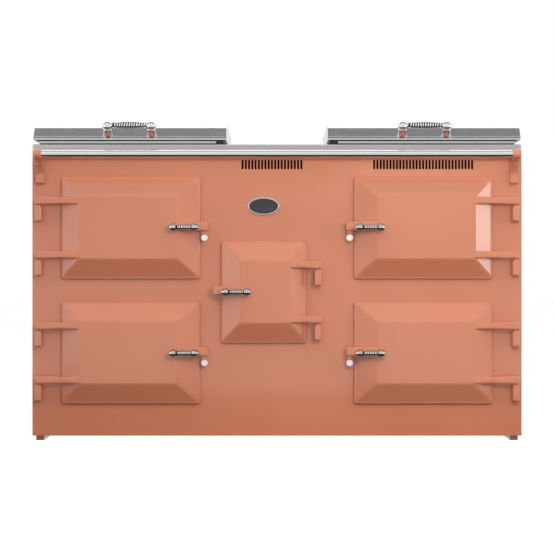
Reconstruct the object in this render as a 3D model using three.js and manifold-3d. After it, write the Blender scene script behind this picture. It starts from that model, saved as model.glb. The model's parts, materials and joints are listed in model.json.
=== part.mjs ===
// Cast iron range cooker, 1500 mm wide, in millimetres with +Z up.
// The front faces -Y. While it is built, Y = 0 is the front face of the front plate.
// At the end the whole cooker is shifted so that its origin is the middle of its footprint.
import * as THREE from 'three';
import { mergeVertices } from 'three/addons/utils/BufferGeometryUtils.js';
import Module from 'manifold-3d';

const wasm = await Module();
wasm.setup();

// ---------------------------------------------------------------- driving dimensions

// Clearances
const FACE_GAP = 0.3; // between two pieces that touch
const RUNNING_GAP = 0.5; // round a pin, spindle or neck

// Body
const BODY_WIDTH = 1498;
const BODY_DEPTH = 600;
const FLOOR_GAP = 14; // height of the runners
const HOB_HEIGHT = 906;
const HOB_LIP = 38; // height of the folded edge of the hob
const HOB_PROUD = 4; // how far the hob stands in front of the front plate
const HOB_SHEET = 4;
const PLATE_THICKNESS = 8;
const SHEET = 3; // side, back and base sheet
const FLANGE = 15; // turned edges of the side sheets
const RUNNER_WIDTH = 25;
const RUNNER_INSET = 11; // from the side of the body to the runner
const RUNNER_SETBACK = 2;

// Vents in the front plate
const VENT_WIDTH = 6;
const VENT_HEIGHT = 29;
const VENT_PITCH = 10;
const VENT_TOP_DROP = 9; // below the hob's lip
const MIDDLE_VENTS = 19;
const MIDDLE_VENTS_X = -15.5;
const RIGHT_VENTS = 31;
const RIGHT_VENTS_SHIFT = 1; // from the middle of the right doors

// Doors, all of one casting pattern
const HINGE_AXIS_INSET = 22; // from the side of the body to the big doors' hinge axis
const MIDDLE_BAY = 470; // between the left and right doors
const DOOR_TOP_DROP = 100; // from the hob's height to the upper doors
const DOOR_ROW_GAP = 69; // between the upper and lower doors
const DOOR_BOTTOM_RISE = 99; // from the runners to the lower doors
const BIG_HINGE_BEVEL = 58;
const BIG_HANDLE_BEVEL = 69;
const BIG_HINGE_REACH = 69; // from the door's edge to the hinge axis
const SMALL_DOOR_WIDTH = 261;
const SMALL_DOOR_HEIGHT = 313;
const SMALL_DOOR_X = -40; // middle of the small door
const SMALL_HINGE_BEVEL = 52;
const SMALL_HANDLE_BEVEL = 60;
const SMALL_HINGE_REACH = 34;
const SMALL_DOOR_DROP = 5.5; // its middle, below the middle of the big doors
const DOOR_BEVEL = 61; // top and bottom
const DOOR_CORNER = 8;
const DOOR_RIM = 12; // thickness of the flat rim
const DOOR_RIM_FLAT = 5; // width of the rim in front of the bevels
const DOOR_RISE = 28; // from the rim to the raised field
const DOOR_SEAL_GAP = 1.5; // room for the seal behind a closed door
const DOOR_OVERLAP = 32; // of a door over its opening
const OPENING_CORNER = 6;

// Hinges
const ARM_HEIGHT = 25;
const ARM_DEPTH = 18;
const ARM_FROM_EDGE = 73.5; // arm's middle to the door's top or bottom edge
const POST_WIDTH = 21;
const POST_HEIGHT = 46;
const POST_GAP = 4; // between arm and post
const POST_CORNER = 4;
const HINGE_PIN_RADIUS = 4;
const HINGE_PIN_GRIP = 16; // length of pin inside the arm
const NECK = 11; // square neck that goes through the front plate
const CARRIER_BAR = 6; // thickness of the bar behind the plate
const CARRIER_BAR_WIDTH = 16;

// Latch
const NOSE_HEIGHT = 29;
const NOSE_DEPTH = 22;
const NOSE_RISE = 4; // nose's middle above the grip
const NOSE_REACH = 25; // past the door's edge
const NOSE_ARCH = 4;
const STUD_RADIUS = 10.3;
const STUD_SHANK_RADIUS = 7;
const STUD_LENGTH = 30;
const STUD_HEAD = 7;
const STUD_FROM_EDGE = 13.8;
const STUD_DROP = 30.5; // below the grip
const TONGUE_WIDTH = 15;
const TONGUE_DEPTH = 12;
const TONGUE_GAP = 0.6; // over the stud

// Door grips: a coil on a rod between two ferrules
const GRIP_STANDOFF = 27; // from the field to the grip's axis
const GRIP_OVERHANG = 1; // past the door's edge
const INNER_FERRULE = 22;
const GRIP_COIL_LENGTH = 48;
const OUTER_FERRULE = 24;
const FERRULE_RADIUS = 12.5;
const GRIP_ROD_RADIUS = 4.2;
const GRIP_STEM_RADIUS = 5.5;
const GRIP_COIL_RADIUS = 8.4;
const GRIP_WIRE = 3;
const GRIP_TURNS = 7.5;

// Door liners and ovens
const LINER_PLUG_GAP = 6; // between the door's plug and the opening
const LINER_PLUG_DEPTH = 24;
const OVEN_DEPTH = 430;
const OVEN_WALL = 3;
const OVEN_FLANGE = 12;
const CONTROL_DEPTH = 95;
const KNOB_COUNT = 3;
const KNOB_PITCH = 68;
const KNOB_RADIUS = 21;
const KNOB_LENGTH = 24;
const KNOB_SPINDLE_RADIUS = 4;
const KNOB_SPINDLE_LENGTH = 14;
const KNOB_RIDGE = 6;

// Towel rail
const RAIL_RADIUS = 12;
const RAIL_DROP = 32.5; // from the hob's height to the rail's axis
const RAIL_STANDOFF = 63.2; // from the front plate to the rail's axis
const RAIL_END_DEPTH = 14; // in each bracket
const RAIL_BORE_GAP = 0.4;
const BRACKET_WIDTH = 25;
const BRACKET_INSET = 12.5; // from the side of the body
const BRACKET_BOSS_RADIUS = 15;
const BRACKET_HOB_GAP = 1;
const BRACKET_FOOT_DROP = 97; // from the hob's height to the foot
const BRACKET_FOOT_HEIGHT = 25;
const BRACKET_FOOT_DEPTH = 14;
const BRACKET_SWEEP = 24; // height of the curve from the boss down to the foot
const BRACKET_ROUND = 8;

// Oval plate
const BADGE_WIDTH = 97;
const BADGE_HEIGHT = 55;
const BADGE_THICKNESS = 5;
const BADGE_X = -41;
const BADGE_DROP = 189; // from the hob's height to its middle

// Hot plates and lids
const HOT_PLATE_SIDE_MARGIN = 36; // from the lid's ends
const HOT_PLATE_DEPTH = 380;
const HOT_PLATE_THICKNESS = 26;
const HOT_PLATE_PROUD = 3;
const HOT_PLATE_CORNER = 24;
const HOT_PLATE_GAP = 2;
const LID_OUTER_INSET = 2; // from the side of the body
const LID_SPACING = 310; // between the two lids
const LID_SETBACK = 2;
const LID_DEPTH = 500;
const LID_GAP = 13.5; // above the hob
const LID_RIM = 5;
const LID_LEAN_BACK = 27;
const LID_LEAN_UP = 34.5;
const LID_FACET_BACK = 20;
const LID_FACET_UP = 13;
const LID_WALL = 3;

// Lid hinges
const LID_PIN_RADIUS = 5;
const LID_LUG_RADIUS = 10;
const LID_LUG_WIDTH = 14;
const LID_LUG_INSET = 116; // from the lid's ends
const LID_LUG_REACH = 17; // from the lid's back to the hinge axis
const LID_EAR_WIDTH = 8;
const LID_EAR_GAP = 1;
const LID_HINGE_BASE = 4;

// Lid handles: a barrel coil on a rod between two posts
const LID_HANDLE_LENGTH = 181;
const LID_HANDLE_STANDOFF = 40;
const LID_HANDLE_UP = 18; // base of the posts above the rim, along the leaning face
const LID_POST_RADIUS = 13;
const LID_POST_BASE_RADIUS = 18.5;
const LID_POST_NECK_RADIUS = 12.5;
const LID_COIL_LENGTH = 105;
const LID_COIL_END_RADIUS = 8.5;
const LID_COIL_MIDDLE_RADIUS = 14.6;
const LID_WIRE = 4;
const LID_COIL_TURNS = 13;
const LID_ROD_RADIUS = 3.6;

// Back
const BACK_VENT_WIDTH = 60;
const BACK_VENT_HEIGHT = 8;
const BACK_VENT_ROWS = 6;
const BACK_VENT_PITCH = 20;
const BACK_VENT_INSET = 299; // from the side of the body to their middle
const BACK_VENT_DROP = 286; // from the hob's height to the lowest row
const GROMMET_HOLE_RADIUS = 14;
const GROMMET_RADIUS = 20;
const GROMMET_BORE_RADIUS = 9;
const GROMMET_LIP = 3;
const GROMMET_INSET = 109; // from the side of the body
const GROMMET_RISE = 76; // above the runners

// Insulation round the ovens
const INSULATION_SETBACK = 18;
const INSULATION_CLEARANCE = 3;

// Facets
const ROUND = 16; // sides of the larger round pieces
const SMALL_ROUND = 10;
const COIL_STEPS = 8;
const COIL_SIDES = 5;

// Worked out from the above
const HALF_WIDTH = BODY_WIDTH / 2;
const PANEL_TOP = HOB_HEIGHT - HOB_LIP - FACE_GAP;
const FIELD_Y = -(DOOR_SEAL_GAP + DOOR_RIM + DOOR_RISE);
const HINGE_Y = FIELD_Y + POST_WIDTH / 2;
const GRIP_Y = FIELD_Y - GRIP_STANDOFF;
const LINER_FRONT = PLATE_THICKNESS + FACE_GAP;
const LID_BOTTOM = HOB_HEIGHT + LID_GAP;
const LID_TOP = LID_BOTTOM + LID_RIM + LID_LEAN_UP + LID_FACET_UP;
const LID_BACK = LID_SETBACK + LID_DEPTH;
const LID_PIN_Y = LID_BACK + LID_LUG_REACH;
const LID_PIN_Z = LID_BOTTOM + LID_LUG_RADIUS;
const LID_WIDTH = HALF_WIDTH - LID_OUTER_INSET - LID_SPACING / 2;
const LID_CENTRE_X = (LID_SPACING + LID_WIDTH) / 2;
const HOT_PLATE_WIDTH = LID_WIDTH - 2 * HOT_PLATE_SIDE_MARGIN;
const BIG_DOOR_HINGE_EDGE = HALF_WIDTH - HINGE_AXIS_INSET - BIG_HINGE_REACH;
const BIG_DOOR_WIDTH = BIG_DOOR_HINGE_EDGE - MIDDLE_BAY / 2;
const UPPER_DOOR_TOP = HOB_HEIGHT - DOOR_TOP_DROP;
const LOWER_DOOR_BOTTOM = FLOOR_GAP + DOOR_BOTTOM_RISE;
const BIG_DOOR_HEIGHT = (UPPER_DOOR_TOP - LOWER_DOOR_BOTTOM - DOOR_ROW_GAP) / 2;
const UPPER_DOOR_BOTTOM = UPPER_DOOR_TOP - BIG_DOOR_HEIGHT;
const SMALL_DOOR_HINGE_EDGE = SMALL_DOOR_X + SMALL_DOOR_WIDTH / 2;
const SMALL_DOOR_MIDDLE = (UPPER_DOOR_TOP + LOWER_DOOR_BOTTOM) / 2 - SMALL_DOOR_DROP;
const SMALL_DOOR_BOTTOM = SMALL_DOOR_MIDDLE - SMALL_DOOR_HEIGHT / 2;
const RIGHT_VENTS_X = BIG_DOOR_HINGE_EDGE - BIG_DOOR_WIDTH / 2 + RIGHT_VENTS_SHIFT;
const RAIL_HEIGHT = HOB_HEIGHT - RAIL_DROP;
const BRACKET_FOOT_TOP = HOB_HEIGHT - BRACKET_FOOT_DROP;
const BRACKET_FOOT_BOTTOM = BRACKET_FOOT_TOP - BRACKET_FOOT_HEIGHT;
const BADGE_Z = HOB_HEIGHT - BADGE_DROP;
const BACK_VENT_X = HALF_WIDTH - BACK_VENT_INSET;
const BACK_VENT_BOTTOM = HOB_HEIGHT - BACK_VENT_DROP;
const GROMMET_X = HALF_WIDTH - GROMMET_INSET;
const GROMMET_Z = FLOOR_GAP + GROMMET_RISE;

// ---------------------------------------------------------------- solids

const X_AXIS = new THREE.Vector3(1, 0, 0);
const Y_AXIS = new THREE.Vector3(0, 1, 0);
const Z_AXIS = new THREE.Vector3(0, 0, 1);

function signedVolume(points, triangles) {
  let sum = 0;
  const [a, b, c] = [new THREE.Vector3(), new THREE.Vector3(), new THREE.Vector3()];
  for (let i = 0; i < triangles.length; i += 3) {
    a.fromArray(points, triangles[i] * 3);
    b.fromArray(points, triangles[i + 1] * 3);
    c.fromArray(points, triangles[i + 2] * 3);
    sum += a.dot(b.cross(c)) / 6;
  }
  return sum;
}

// Turns a closed geometry into a solid that can be joined and cut, with its faces out.
function solid(geometry) {
  const bare = geometry.clone();
  for (const name of Object.keys(bare.attributes)) {
    if (name !== 'position') bare.deleteAttribute(name);
  }
  const merged = mergeVertices(bare, 1e-3);
  const points = merged.attributes.position.array;
  const triangles = [];
  const index = merged.index.array;
  for (let i = 0; i < index.length; i += 3) {
    const [a, b, c] = [index[i], index[i + 1], index[i + 2]];
    if (a !== b && b !== c && c !== a) triangles.push(a, b, c);
  }
  if (signedVolume(points, triangles) < 0) triangles.reverse();
  const mesh = new wasm.Mesh({
    numProp: 3,
    vertProperties: new Float32Array(points),
    triVerts: new Uint32Array(triangles),
  });
  return new wasm.Manifold(mesh);
}

function geometryOf(manifold) {
  const mesh = manifold.getMesh();
  const geometry = new THREE.BufferGeometry();
  const points = new Float32Array(mesh.vertProperties);
  geometry.setAttribute('position', new THREE.BufferAttribute(points, 3));
  geometry.setIndex(new THREE.BufferAttribute(new Uint32Array(mesh.triVerts), 1));
  geometry.computeVertexNormals();
  return geometry;
}

const join = (...solids) => solids.reduce((whole, next) => whole.add(next));
const cut = (body, ...tools) => tools.reduce((whole, next) => whole.subtract(next), body);

function block([x0, x1], [y0, y1], [z0, z1]) {
  const box = new THREE.BoxGeometry(Math.abs(x1 - x0), Math.abs(y1 - y0), Math.abs(z1 - z0));
  box.translate((x0 + x1) / 2, (y0 + y1) / 2, (z0 + z1) / 2);
  return solid(box);
}

// A block whose front rectangle differs from its back one: a truncated pyramid facing -Y.
function bevelledBlock(back, front) {
  const box = new THREE.BoxGeometry(2, 2, 2);
  const place = box.attributes.position;
  for (let i = 0; i < place.count; i++) {
    const rect = place.getY(i) < 0 ? front : back;
    const x = place.getX(i) < 0 ? rect.x[0] : rect.x[1];
    const z = place.getZ(i) < 0 ? rect.z[0] : rect.z[1];
    place.setXYZ(i, x, rect.y, z);
  }
  return solid(box);
}

function roundedRectangle([x0, x1], [z0, z1], radius) {
  const shape = new THREE.Shape();
  const r = Math.min(radius, (x1 - x0) / 2.01, (z1 - z0) / 2.01);
  shape.moveTo(x0 + r, z0);
  shape.lineTo(x1 - r, z0);
  shape.absarc(x1 - r, z0 + r, r, -Math.PI / 2, 0, false);
  shape.lineTo(x1, z1 - r);
  shape.absarc(x1 - r, z1 - r, r, 0, Math.PI / 2, false);
  shape.lineTo(x0 + r, z1);
  shape.absarc(x0 + r, z1 - r, r, Math.PI / 2, Math.PI, false);
  shape.lineTo(x0, z0 + r);
  shape.absarc(x0 + r, z0 + r, r, Math.PI, Math.PI * 1.5, false);
  return shape;
}

// Extrudes a shape drawn in X and Z from y0 back to y1.
function slabAlongY(shape, [y0, y1], curveSegments = 3) {
  const options = { depth: y1 - y0, bevelEnabled: false, curveSegments };
  const slab = new THREE.ExtrudeGeometry(shape, options);
  slab.rotateX(Math.PI / 2);
  slab.translate(0, y1, 0);
  return solid(slab);
}

// Extrudes a shape drawn in Y and Z from x0 to x1.
function slabAlongX(shape, [x0, x1], curveSegments = 6) {
  const options = { depth: x1 - x0, bevelEnabled: false, curveSegments };
  const slab = new THREE.ExtrudeGeometry(shape, options);
  slab.applyMatrix4(new THREE.Matrix4().makeBasis(Y_AXIS, Z_AXIS, X_AXIS));
  slab.translate(x0, 0, 0);
  return solid(slab);
}

// Extrudes a shape drawn in X and Y from z0 up to z1.
function slabAlongZ(shape, [z0, z1], curveSegments = 4) {
  const options = { depth: z1 - z0, bevelEnabled: false, curveSegments };
  const slab = new THREE.ExtrudeGeometry(shape, options);
  slab.translate(0, 0, z0);
  return solid(slab);
}

// Turns a profile of [radius, distance] pairs about an axis through a point.
function turned(profile, origin, direction, sides = SMALL_ROUND) {
  const points = profile.map(([radius, along]) => new THREE.Vector2(radius, along));
  const body = new THREE.LatheGeometry(points, sides);
  body.rotateY(Math.PI / sides);
  const turn = new THREE.Quaternion().setFromUnitVectors(Y_AXIS, direction.clone().normalize());
  body.applyQuaternion(turn);
  body.translate(...origin);
  return solid(body);
}

function rod(radius, length, origin, direction, sides = SMALL_ROUND) {
  const profile = [[0, 0], [radius, 0], [radius, length], [0, length]];
  return turned(profile, origin, direction, sides);
}

// A closed tube along a list of points, whose section turns with the path.
function tubeAlong(points, radius, sides) {
  const tangents = points.map((point, i) => {
    const before = points[Math.max(i - 1, 0)];
    const after = points[Math.min(i + 1, points.length - 1)];
    return after.clone().sub(before).normalize();
  });
  let normal = new THREE.Vector3(0, 0, 1);
  const corners = [];
  points.forEach((point, i) => {
    normal.sub(tangents[i].clone().multiplyScalar(normal.dot(tangents[i]))).normalize();
    const side = tangents[i].clone().cross(normal);
    for (let k = 0; k < sides; k++) {
      const angle = (2 * Math.PI * k) / sides;
      const corner = point.clone().addScaledVector(normal, radius * Math.cos(angle));
      corner.addScaledVector(side, radius * Math.sin(angle));
      corners.push(...corner.toArray());
    }
  });
  const triangles = [];
  for (let i = 0; i + 1 < points.length; i++) {
    for (let k = 0; k < sides; k++) {
      const a = i * sides + k;
      const b = i * sides + ((k + 1) % sides);
      triangles.push(a, b, a + sides, b, b + sides, a + sides);
    }
  }
  const last = (points.length - 1) * sides;
  for (let k = 1; k + 1 < sides; k++) {
    triangles.push(0, k + 1, k, last, last + k, last + k + 1);
  }
  const tube = new THREE.BufferGeometry();
  tube.setAttribute('position', new THREE.Float32BufferAttribute(corners, 3));
  tube.setIndex(triangles);
  return solid(tube);
}

// ---------------------------------------------------------------- coils

// One unbroken wire wound along X. radiusAt gives the wire's middle radius from 0 to 1 along it.
// Each end runs straight along the axis for one wire diameter, square to the ferrule it meets.
function coilPoints(length, turns, wire, radiusAt) {
  const steps = Math.round(turns * COIL_STEPS);
  const wound = length - 2 * wire;
  const points = [new THREE.Vector3(0, 0, radiusAt(0))];
  for (let i = 0; i <= steps; i++) {
    const share = i / steps;
    const angle = 2 * Math.PI * turns * share;
    const radius = radiusAt(share);
    const x = wire + wound * share;
    points.push(new THREE.Vector3(x, radius * Math.sin(angle), radius * Math.cos(angle)));
  }
  const end = points[points.length - 1].clone();
  points.push(end.setX(length));
  return points;
}

function leastGap(points, wire) {
  let least = Infinity;
  for (let i = 0; i < points.length; i++) {
    for (let j = i + COIL_STEPS - 2; j < points.length; j++) {
      least = Math.min(least, points[i].distanceTo(points[j]) - wire);
    }
  }
  return least;
}

// ---------------------------------------------------------------- materials and nodes

const cooker = new THREE.Group();

const FINISHES = {
  enamel: { color: 0xcf8870, roughness: 0.22, metalness: 0 },
  steel: { color: 0xb9babc, roughness: 0.3, metalness: 1 },
  chrome: { color: 0xd8d8d8, roughness: 0.08, metalness: 1 },
  iron: { color: 0x34332f, roughness: 0.6, metalness: 0.6 },
  ovenEnamel: { color: 0x23252a, roughness: 0.35, metalness: 0 },
  zinc: { color: 0x8f9294, roughness: 0.45, metalness: 0.9 },
  stud: { color: 0xeeece6, roughness: 0.25, metalness: 0 },
  blackPlastic: { color: 0x1b1b1c, roughness: 0.5, metalness: 0 },
  wool: { color: 0xc9bfa0, roughness: 0.95, metalness: 0 },
  rubber: { color: 0x161616, roughness: 0.8, metalness: 0 },
};

function addNode(name, body, finish, parent = cooker) {
  const material = new THREE.MeshStandardMaterial(FINISHES[finish]);
  const mesh = new THREE.Mesh(geometryOf(body), material);
  mesh.name = name;
  parent.add(mesh);
  return mesh;
}

// ---------------------------------------------------------------- doors' places

function bigDoor(name, side, bottom) {
  return {
    name,
    side,
    hingeX: side * (BIG_DOOR_HINGE_EDGE + BIG_HINGE_REACH),
    reach: BIG_HINGE_REACH,
    width: BIG_DOOR_WIDTH,
    height: BIG_DOOR_HEIGHT,
    bottom,
    hingeBevel: BIG_HINGE_BEVEL,
    handleBevel: BIG_HANDLE_BEVEL,
    hasCatch: true,
  };
}

const OVEN_DOORS = [
  bigDoor('upper_left', -1, UPPER_DOOR_BOTTOM),
  bigDoor('lower_left', -1, LOWER_DOOR_BOTTOM),
  bigDoor('upper_right', 1, UPPER_DOOR_BOTTOM),
  bigDoor('lower_right', 1, LOWER_DOOR_BOTTOM),
];
const CONTROL_DOOR = {
  name: 'control',
  side: 1,
  hingeX: SMALL_DOOR_HINGE_EDGE + SMALL_HINGE_REACH,
  reach: SMALL_HINGE_REACH,
  width: SMALL_DOOR_WIDTH,
  height: SMALL_DOOR_HEIGHT,
  bottom: SMALL_DOOR_BOTTOM,
  hingeBevel: SMALL_HINGE_BEVEL,
  handleBevel: SMALL_HANDLE_BEVEL,
  hasCatch: false,
};
const DOORS = [...OVEN_DOORS, CONTROL_DOOR];

// X range between two distances from the hinge axis towards the handle.
function span(door, near, far) {
  const a = door.hingeX - door.side * near;
  const b = door.hingeX - door.side * far;
  return [Math.min(a, b), Math.max(a, b)];
}

const doorX = (door, inset = 0) => span(door, door.reach + inset, door.reach + door.width - inset);
const doorZ = (door, inset = 0) => [door.bottom + inset, door.bottom + door.height - inset];
const doorMiddle = (door) => door.bottom + door.height / 2;
const openingX = (door, grow = 0) => doorX(door, DOOR_OVERLAP - grow);
const openingZ = (door, grow = 0) => doorZ(door, DOOR_OVERLAP - grow);
const around = (middle, size) => [middle - size / 2, middle + size / 2];

function armMiddles(door) {
  return [door.bottom + ARM_FROM_EDGE, door.bottom + door.height - ARM_FROM_EDGE];
}

const postTop = (armMiddle) => armMiddle - ARM_HEIGHT / 2 - POST_GAP;
const neckMiddle = (armMiddle) => postTop(armMiddle) - POST_HEIGHT / 2;

// ---------------------------------------------------------------- carcass

// A slot whose ends are rounded by one facet on each side.
function slotShape(x, bottom, top) {
  const half = VENT_WIDTH / 2;
  const facet = half * 0.7;
  const shape = new THREE.Shape();
  shape.moveTo(x - half, bottom + facet);
  shape.lineTo(x - half + facet, bottom);
  shape.lineTo(x + half - facet, bottom);
  shape.lineTo(x + half, bottom + facet);
  shape.lineTo(x + half, top - facet);
  shape.lineTo(x + half - facet, top);
  shape.lineTo(x - half + facet, top);
  shape.lineTo(x - half, top - facet);
  return shape;
}

function ventSlots(count, middleX) {
  const top = PANEL_TOP - VENT_TOP_DROP;
  const slots = [];
  for (let i = 0; i < count; i++) {
    const x = middleX + (i - (count - 1) / 2) * VENT_PITCH;
    slots.push(slabAlongY(slotShape(x, top - VENT_HEIGHT, top), [-1, PLATE_THICKNESS + 1]));
  }
  return slots;
}

function frontPlate() {
  const depth = [0, PLATE_THICKNESS];
  const through = [-1, PLATE_THICKNESS + 1];
  const plate = block([-HALF_WIDTH, HALF_WIDTH], depth, [FLOOR_GAP, PANEL_TOP]);
  const openings = DOORS.map((door) =>
    slabAlongY(roundedRectangle(openingX(door), openingZ(door), OPENING_CORNER), through));
  const neckHole = NECK + 2 * RUNNING_GAP;
  const necks = DOORS.flatMap((door) => armMiddles(door).map((arm) =>
    block(around(door.hingeX, neckHole), through, around(neckMiddle(arm), neckHole))));
  const vents = [
    ...ventSlots(MIDDLE_VENTS, MIDDLE_VENTS_X),
    ...ventSlots(RIGHT_VENTS, RIGHT_VENTS_X),
  ];
  return cut(plate, ...openings, ...necks, ...vents);
}

function sidePanel(side) {
  const outer = side * HALF_WIDTH;
  const y = [PLATE_THICKNESS + FACE_GAP, BODY_DEPTH - SHEET - FACE_GAP];
  const sheet = block([outer - side * SHEET, outer], y, [FLOOR_GAP, PANEL_TOP]);
  const inner = [outer - side * FLANGE, outer];
  const foot = block(inner, y, [FLOOR_GAP, FLOOR_GAP + SHEET]);
  const head = block(inner, y, [PANEL_TOP - SHEET, PANEL_TOP]);
  return join(sheet, foot, head);
}

function backPanel() {
  const y = [BODY_DEPTH - SHEET, BODY_DEPTH];
  const through = [BODY_DEPTH - SHEET - 1, BODY_DEPTH + 1];
  const sheet = block([-HALF_WIDTH, HALF_WIDTH], y, [FLOOR_GAP, PANEL_TOP]);
  const slots = [];
  for (const side of [-1, 1]) {
    for (let row = 0; row < BACK_VENT_ROWS; row++) {
      const z = BACK_VENT_BOTTOM + row * BACK_VENT_PITCH;
      const x = around(side * BACK_VENT_X, BACK_VENT_WIDTH);
      slots.push(block(x, through, [z, z + BACK_VENT_HEIGHT]));
    }
  }
  const hole = rod(GROMMET_HOLE_RADIUS, SHEET + 2, [GROMMET_X, BODY_DEPTH - SHEET - 1, GROMMET_Z],
    Y_AXIS, ROUND);
  return cut(sheet, ...slots, hole);
}

function baseTray() {
  const inside = HALF_WIDTH - SHEET - FACE_GAP;
  const bottom = FLOOR_GAP + SHEET + FACE_GAP;
  const y = [PLATE_THICKNESS + FACE_GAP, BODY_DEPTH - SHEET - FACE_GAP];
  return block([-inside, inside], y, [bottom, bottom + SHEET]);
}

function runner(side) {
  const outer = side * (HALF_WIDTH - RUNNER_INSET);
  const x = [outer - side * RUNNER_WIDTH, outer];
  return block(x, [RUNNER_SETBACK, BODY_DEPTH - RUNNER_SETBACK], [0, FLOOR_GAP - FACE_GAP]);
}

const hotPlateY = () => around(LID_SETBACK + LID_DEPTH / 2, HOT_PLATE_DEPTH);

function hotPlateShape(side, grow) {
  const [y0, y1] = hotPlateY();
  const [x0, x1] = around(side * LID_CENTRE_X, HOT_PLATE_WIDTH);
  return roundedRectangle([x0 - grow, x1 + grow], [y0 - grow, y1 + grow], HOT_PLATE_CORNER + grow);
}

function hobTop() {
  const outerY = [-HOB_PROUD, BODY_DEPTH];
  const innerX = HALF_WIDTH - HOB_SHEET;
  const innerY = [outerY[0] + HOB_SHEET, outerY[1] - HOB_SHEET];
  const lip = [HOB_HEIGHT - HOB_LIP, HOB_HEIGHT];
  const pan = block([-HALF_WIDTH, HALF_WIDTH], outerY, lip);
  const hollow = block([-innerX, innerX], innerY, [lip[0] - 1, HOB_HEIGHT - HOB_SHEET]);
  const holes = [-1, 1].map((side) =>
    slabAlongZ(hotPlateShape(side, HOT_PLATE_GAP), [lip[0], HOB_HEIGHT + 1]));
  return cut(pan, hollow, ...holes);
}

function hotPlate(side) {
  const top = HOB_HEIGHT + HOT_PLATE_PROUD;
  return slabAlongZ(hotPlateShape(side, 0), [top - HOT_PLATE_THICKNESS, top]);
}

function grommet() {
  const inner = BODY_DEPTH - SHEET - FACE_GAP;
  const outer = BODY_DEPTH + FACE_GAP;
  const neck = GROMMET_HOLE_RADIUS - FACE_GAP;
  const profile = [
    [GROMMET_BORE_RADIUS, inner - GROMMET_LIP],
    [GROMMET_RADIUS, inner - GROMMET_LIP],
    [GROMMET_RADIUS, inner],
    [neck, inner],
    [neck, outer],
    [GROMMET_RADIUS, outer],
    [GROMMET_RADIUS, outer + GROMMET_LIP],
    [GROMMET_BORE_RADIUS, outer + GROMMET_LIP],
    [GROMMET_BORE_RADIUS, inner - GROMMET_LIP],
  ];
  return turned(profile, [GROMMET_X, 0, GROMMET_Z], Y_AXIS, ROUND);
}

// ---------------------------------------------------------------- ovens and controls

function openBox(door, depth) {
  const inner = block(openingX(door), [0, LINER_FRONT + depth - OVEN_WALL], openingZ(door));
  const y = [LINER_FRONT, LINER_FRONT + depth];
  const outer = block(openingX(door, OVEN_WALL), y, openingZ(door, OVEN_WALL));
  const flange = block(openingX(door, OVEN_FLANGE), [LINER_FRONT, LINER_FRONT + OVEN_WALL],
    openingZ(door, OVEN_FLANGE));
  return cut(join(outer, flange), inner);
}

const knobX = () => doorX(CONTROL_DOOR).reduce((a, b) => a + b) / 2;
const knobZ = (i) => doorMiddle(CONTROL_DOOR) + ((KNOB_COUNT - 1) / 2 - i) * KNOB_PITCH;

function controlBox() {
  const holes = [];
  for (let i = 0; i < KNOB_COUNT; i++) {
    const start = [knobX(), LINER_FRONT + CONTROL_DEPTH - 2 * OVEN_WALL, knobZ(i)];
    holes.push(rod(KNOB_SPINDLE_RADIUS + RUNNING_GAP, 3 * OVEN_WALL, start, Y_AXIS));
  }
  return cut(openBox(CONTROL_DOOR, CONTROL_DEPTH), ...holes);
}

function knob(i) {
  const back = LINER_FRONT + CONTROL_DEPTH - OVEN_WALL - FACE_GAP;
  const start = [knobX(), back - KNOB_LENGTH, knobZ(i)];
  const profile = [
    [0, 0],
    [KNOB_RADIUS * 0.7, 0],
    [KNOB_RADIUS * 0.78, 2],
    [KNOB_RADIUS * 0.82, KNOB_LENGTH - 7],
    [KNOB_RADIUS, KNOB_LENGTH - 5],
    [KNOB_RADIUS, KNOB_LENGTH],
    [KNOB_SPINDLE_RADIUS, KNOB_LENGTH],
    [KNOB_SPINDLE_RADIUS, KNOB_LENGTH + KNOB_SPINDLE_LENGTH],
    [0, KNOB_LENGTH + KNOB_SPINDLE_LENGTH],
  ];
  const ridgeY = [start[1] - KNOB_RIDGE / 2, start[1] + KNOB_LENGTH / 2];
  const ridge = block(around(start[0], KNOB_RIDGE), ridgeY, around(start[2], KNOB_RADIUS * 1.4));
  return join(turned(profile, start, Y_AXIS, ROUND), ridge);
}

function insulation() {
  const inside = HALF_WIDTH - FLANGE - INSULATION_CLEARANCE;
  const y = [INSULATION_SETBACK, BODY_DEPTH - SHEET - GROMMET_LIP - INSULATION_CLEARANCE];
  const bottom = FLOOR_GAP + 2 * SHEET + INSULATION_CLEARANCE;
  const body = block([-inside, inside], y, [bottom, PANEL_TOP - SHEET - INSULATION_CLEARANCE]);
  const pockets = DOORS.map((door) => {
    const depth = door.hasCatch ? OVEN_DEPTH : CONTROL_DEPTH + KNOB_SPINDLE_LENGTH;
    const grow = OVEN_WALL + INSULATION_CLEARANCE;
    const pocketY = [0, LINER_FRONT + depth + INSULATION_CLEARANCE];
    return block(openingX(door, grow), pocketY, openingZ(door, grow));
  });
  return cut(body, ...pockets);
}

// ---------------------------------------------------------------- doors

function hingeArms(door) {
  const x = span(door, -POST_WIDTH / 2, door.reach + door.hingeBevel);
  const y = [FIELD_Y, FIELD_Y + ARM_DEPTH];
  return armMiddles(door).map((middle) => {
    const arm = block(x, y, around(middle, ARM_HEIGHT));
    const bottom = middle - ARM_HEIGHT / 2 - 1;
    const depth = HINGE_PIN_GRIP + RUNNING_GAP + 1;
    const bore = rod(HINGE_PIN_RADIUS + RUNNING_GAP, depth, [door.hingeX, HINGE_Y, bottom], Z_AXIS);
    return cut(arm, bore);
  });
}

const studX = (door) => door.hingeX - door.side * (door.reach + door.width + STUD_FROM_EDGE);
const studZ = (door) => doorMiddle(door) - STUD_DROP;

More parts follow.
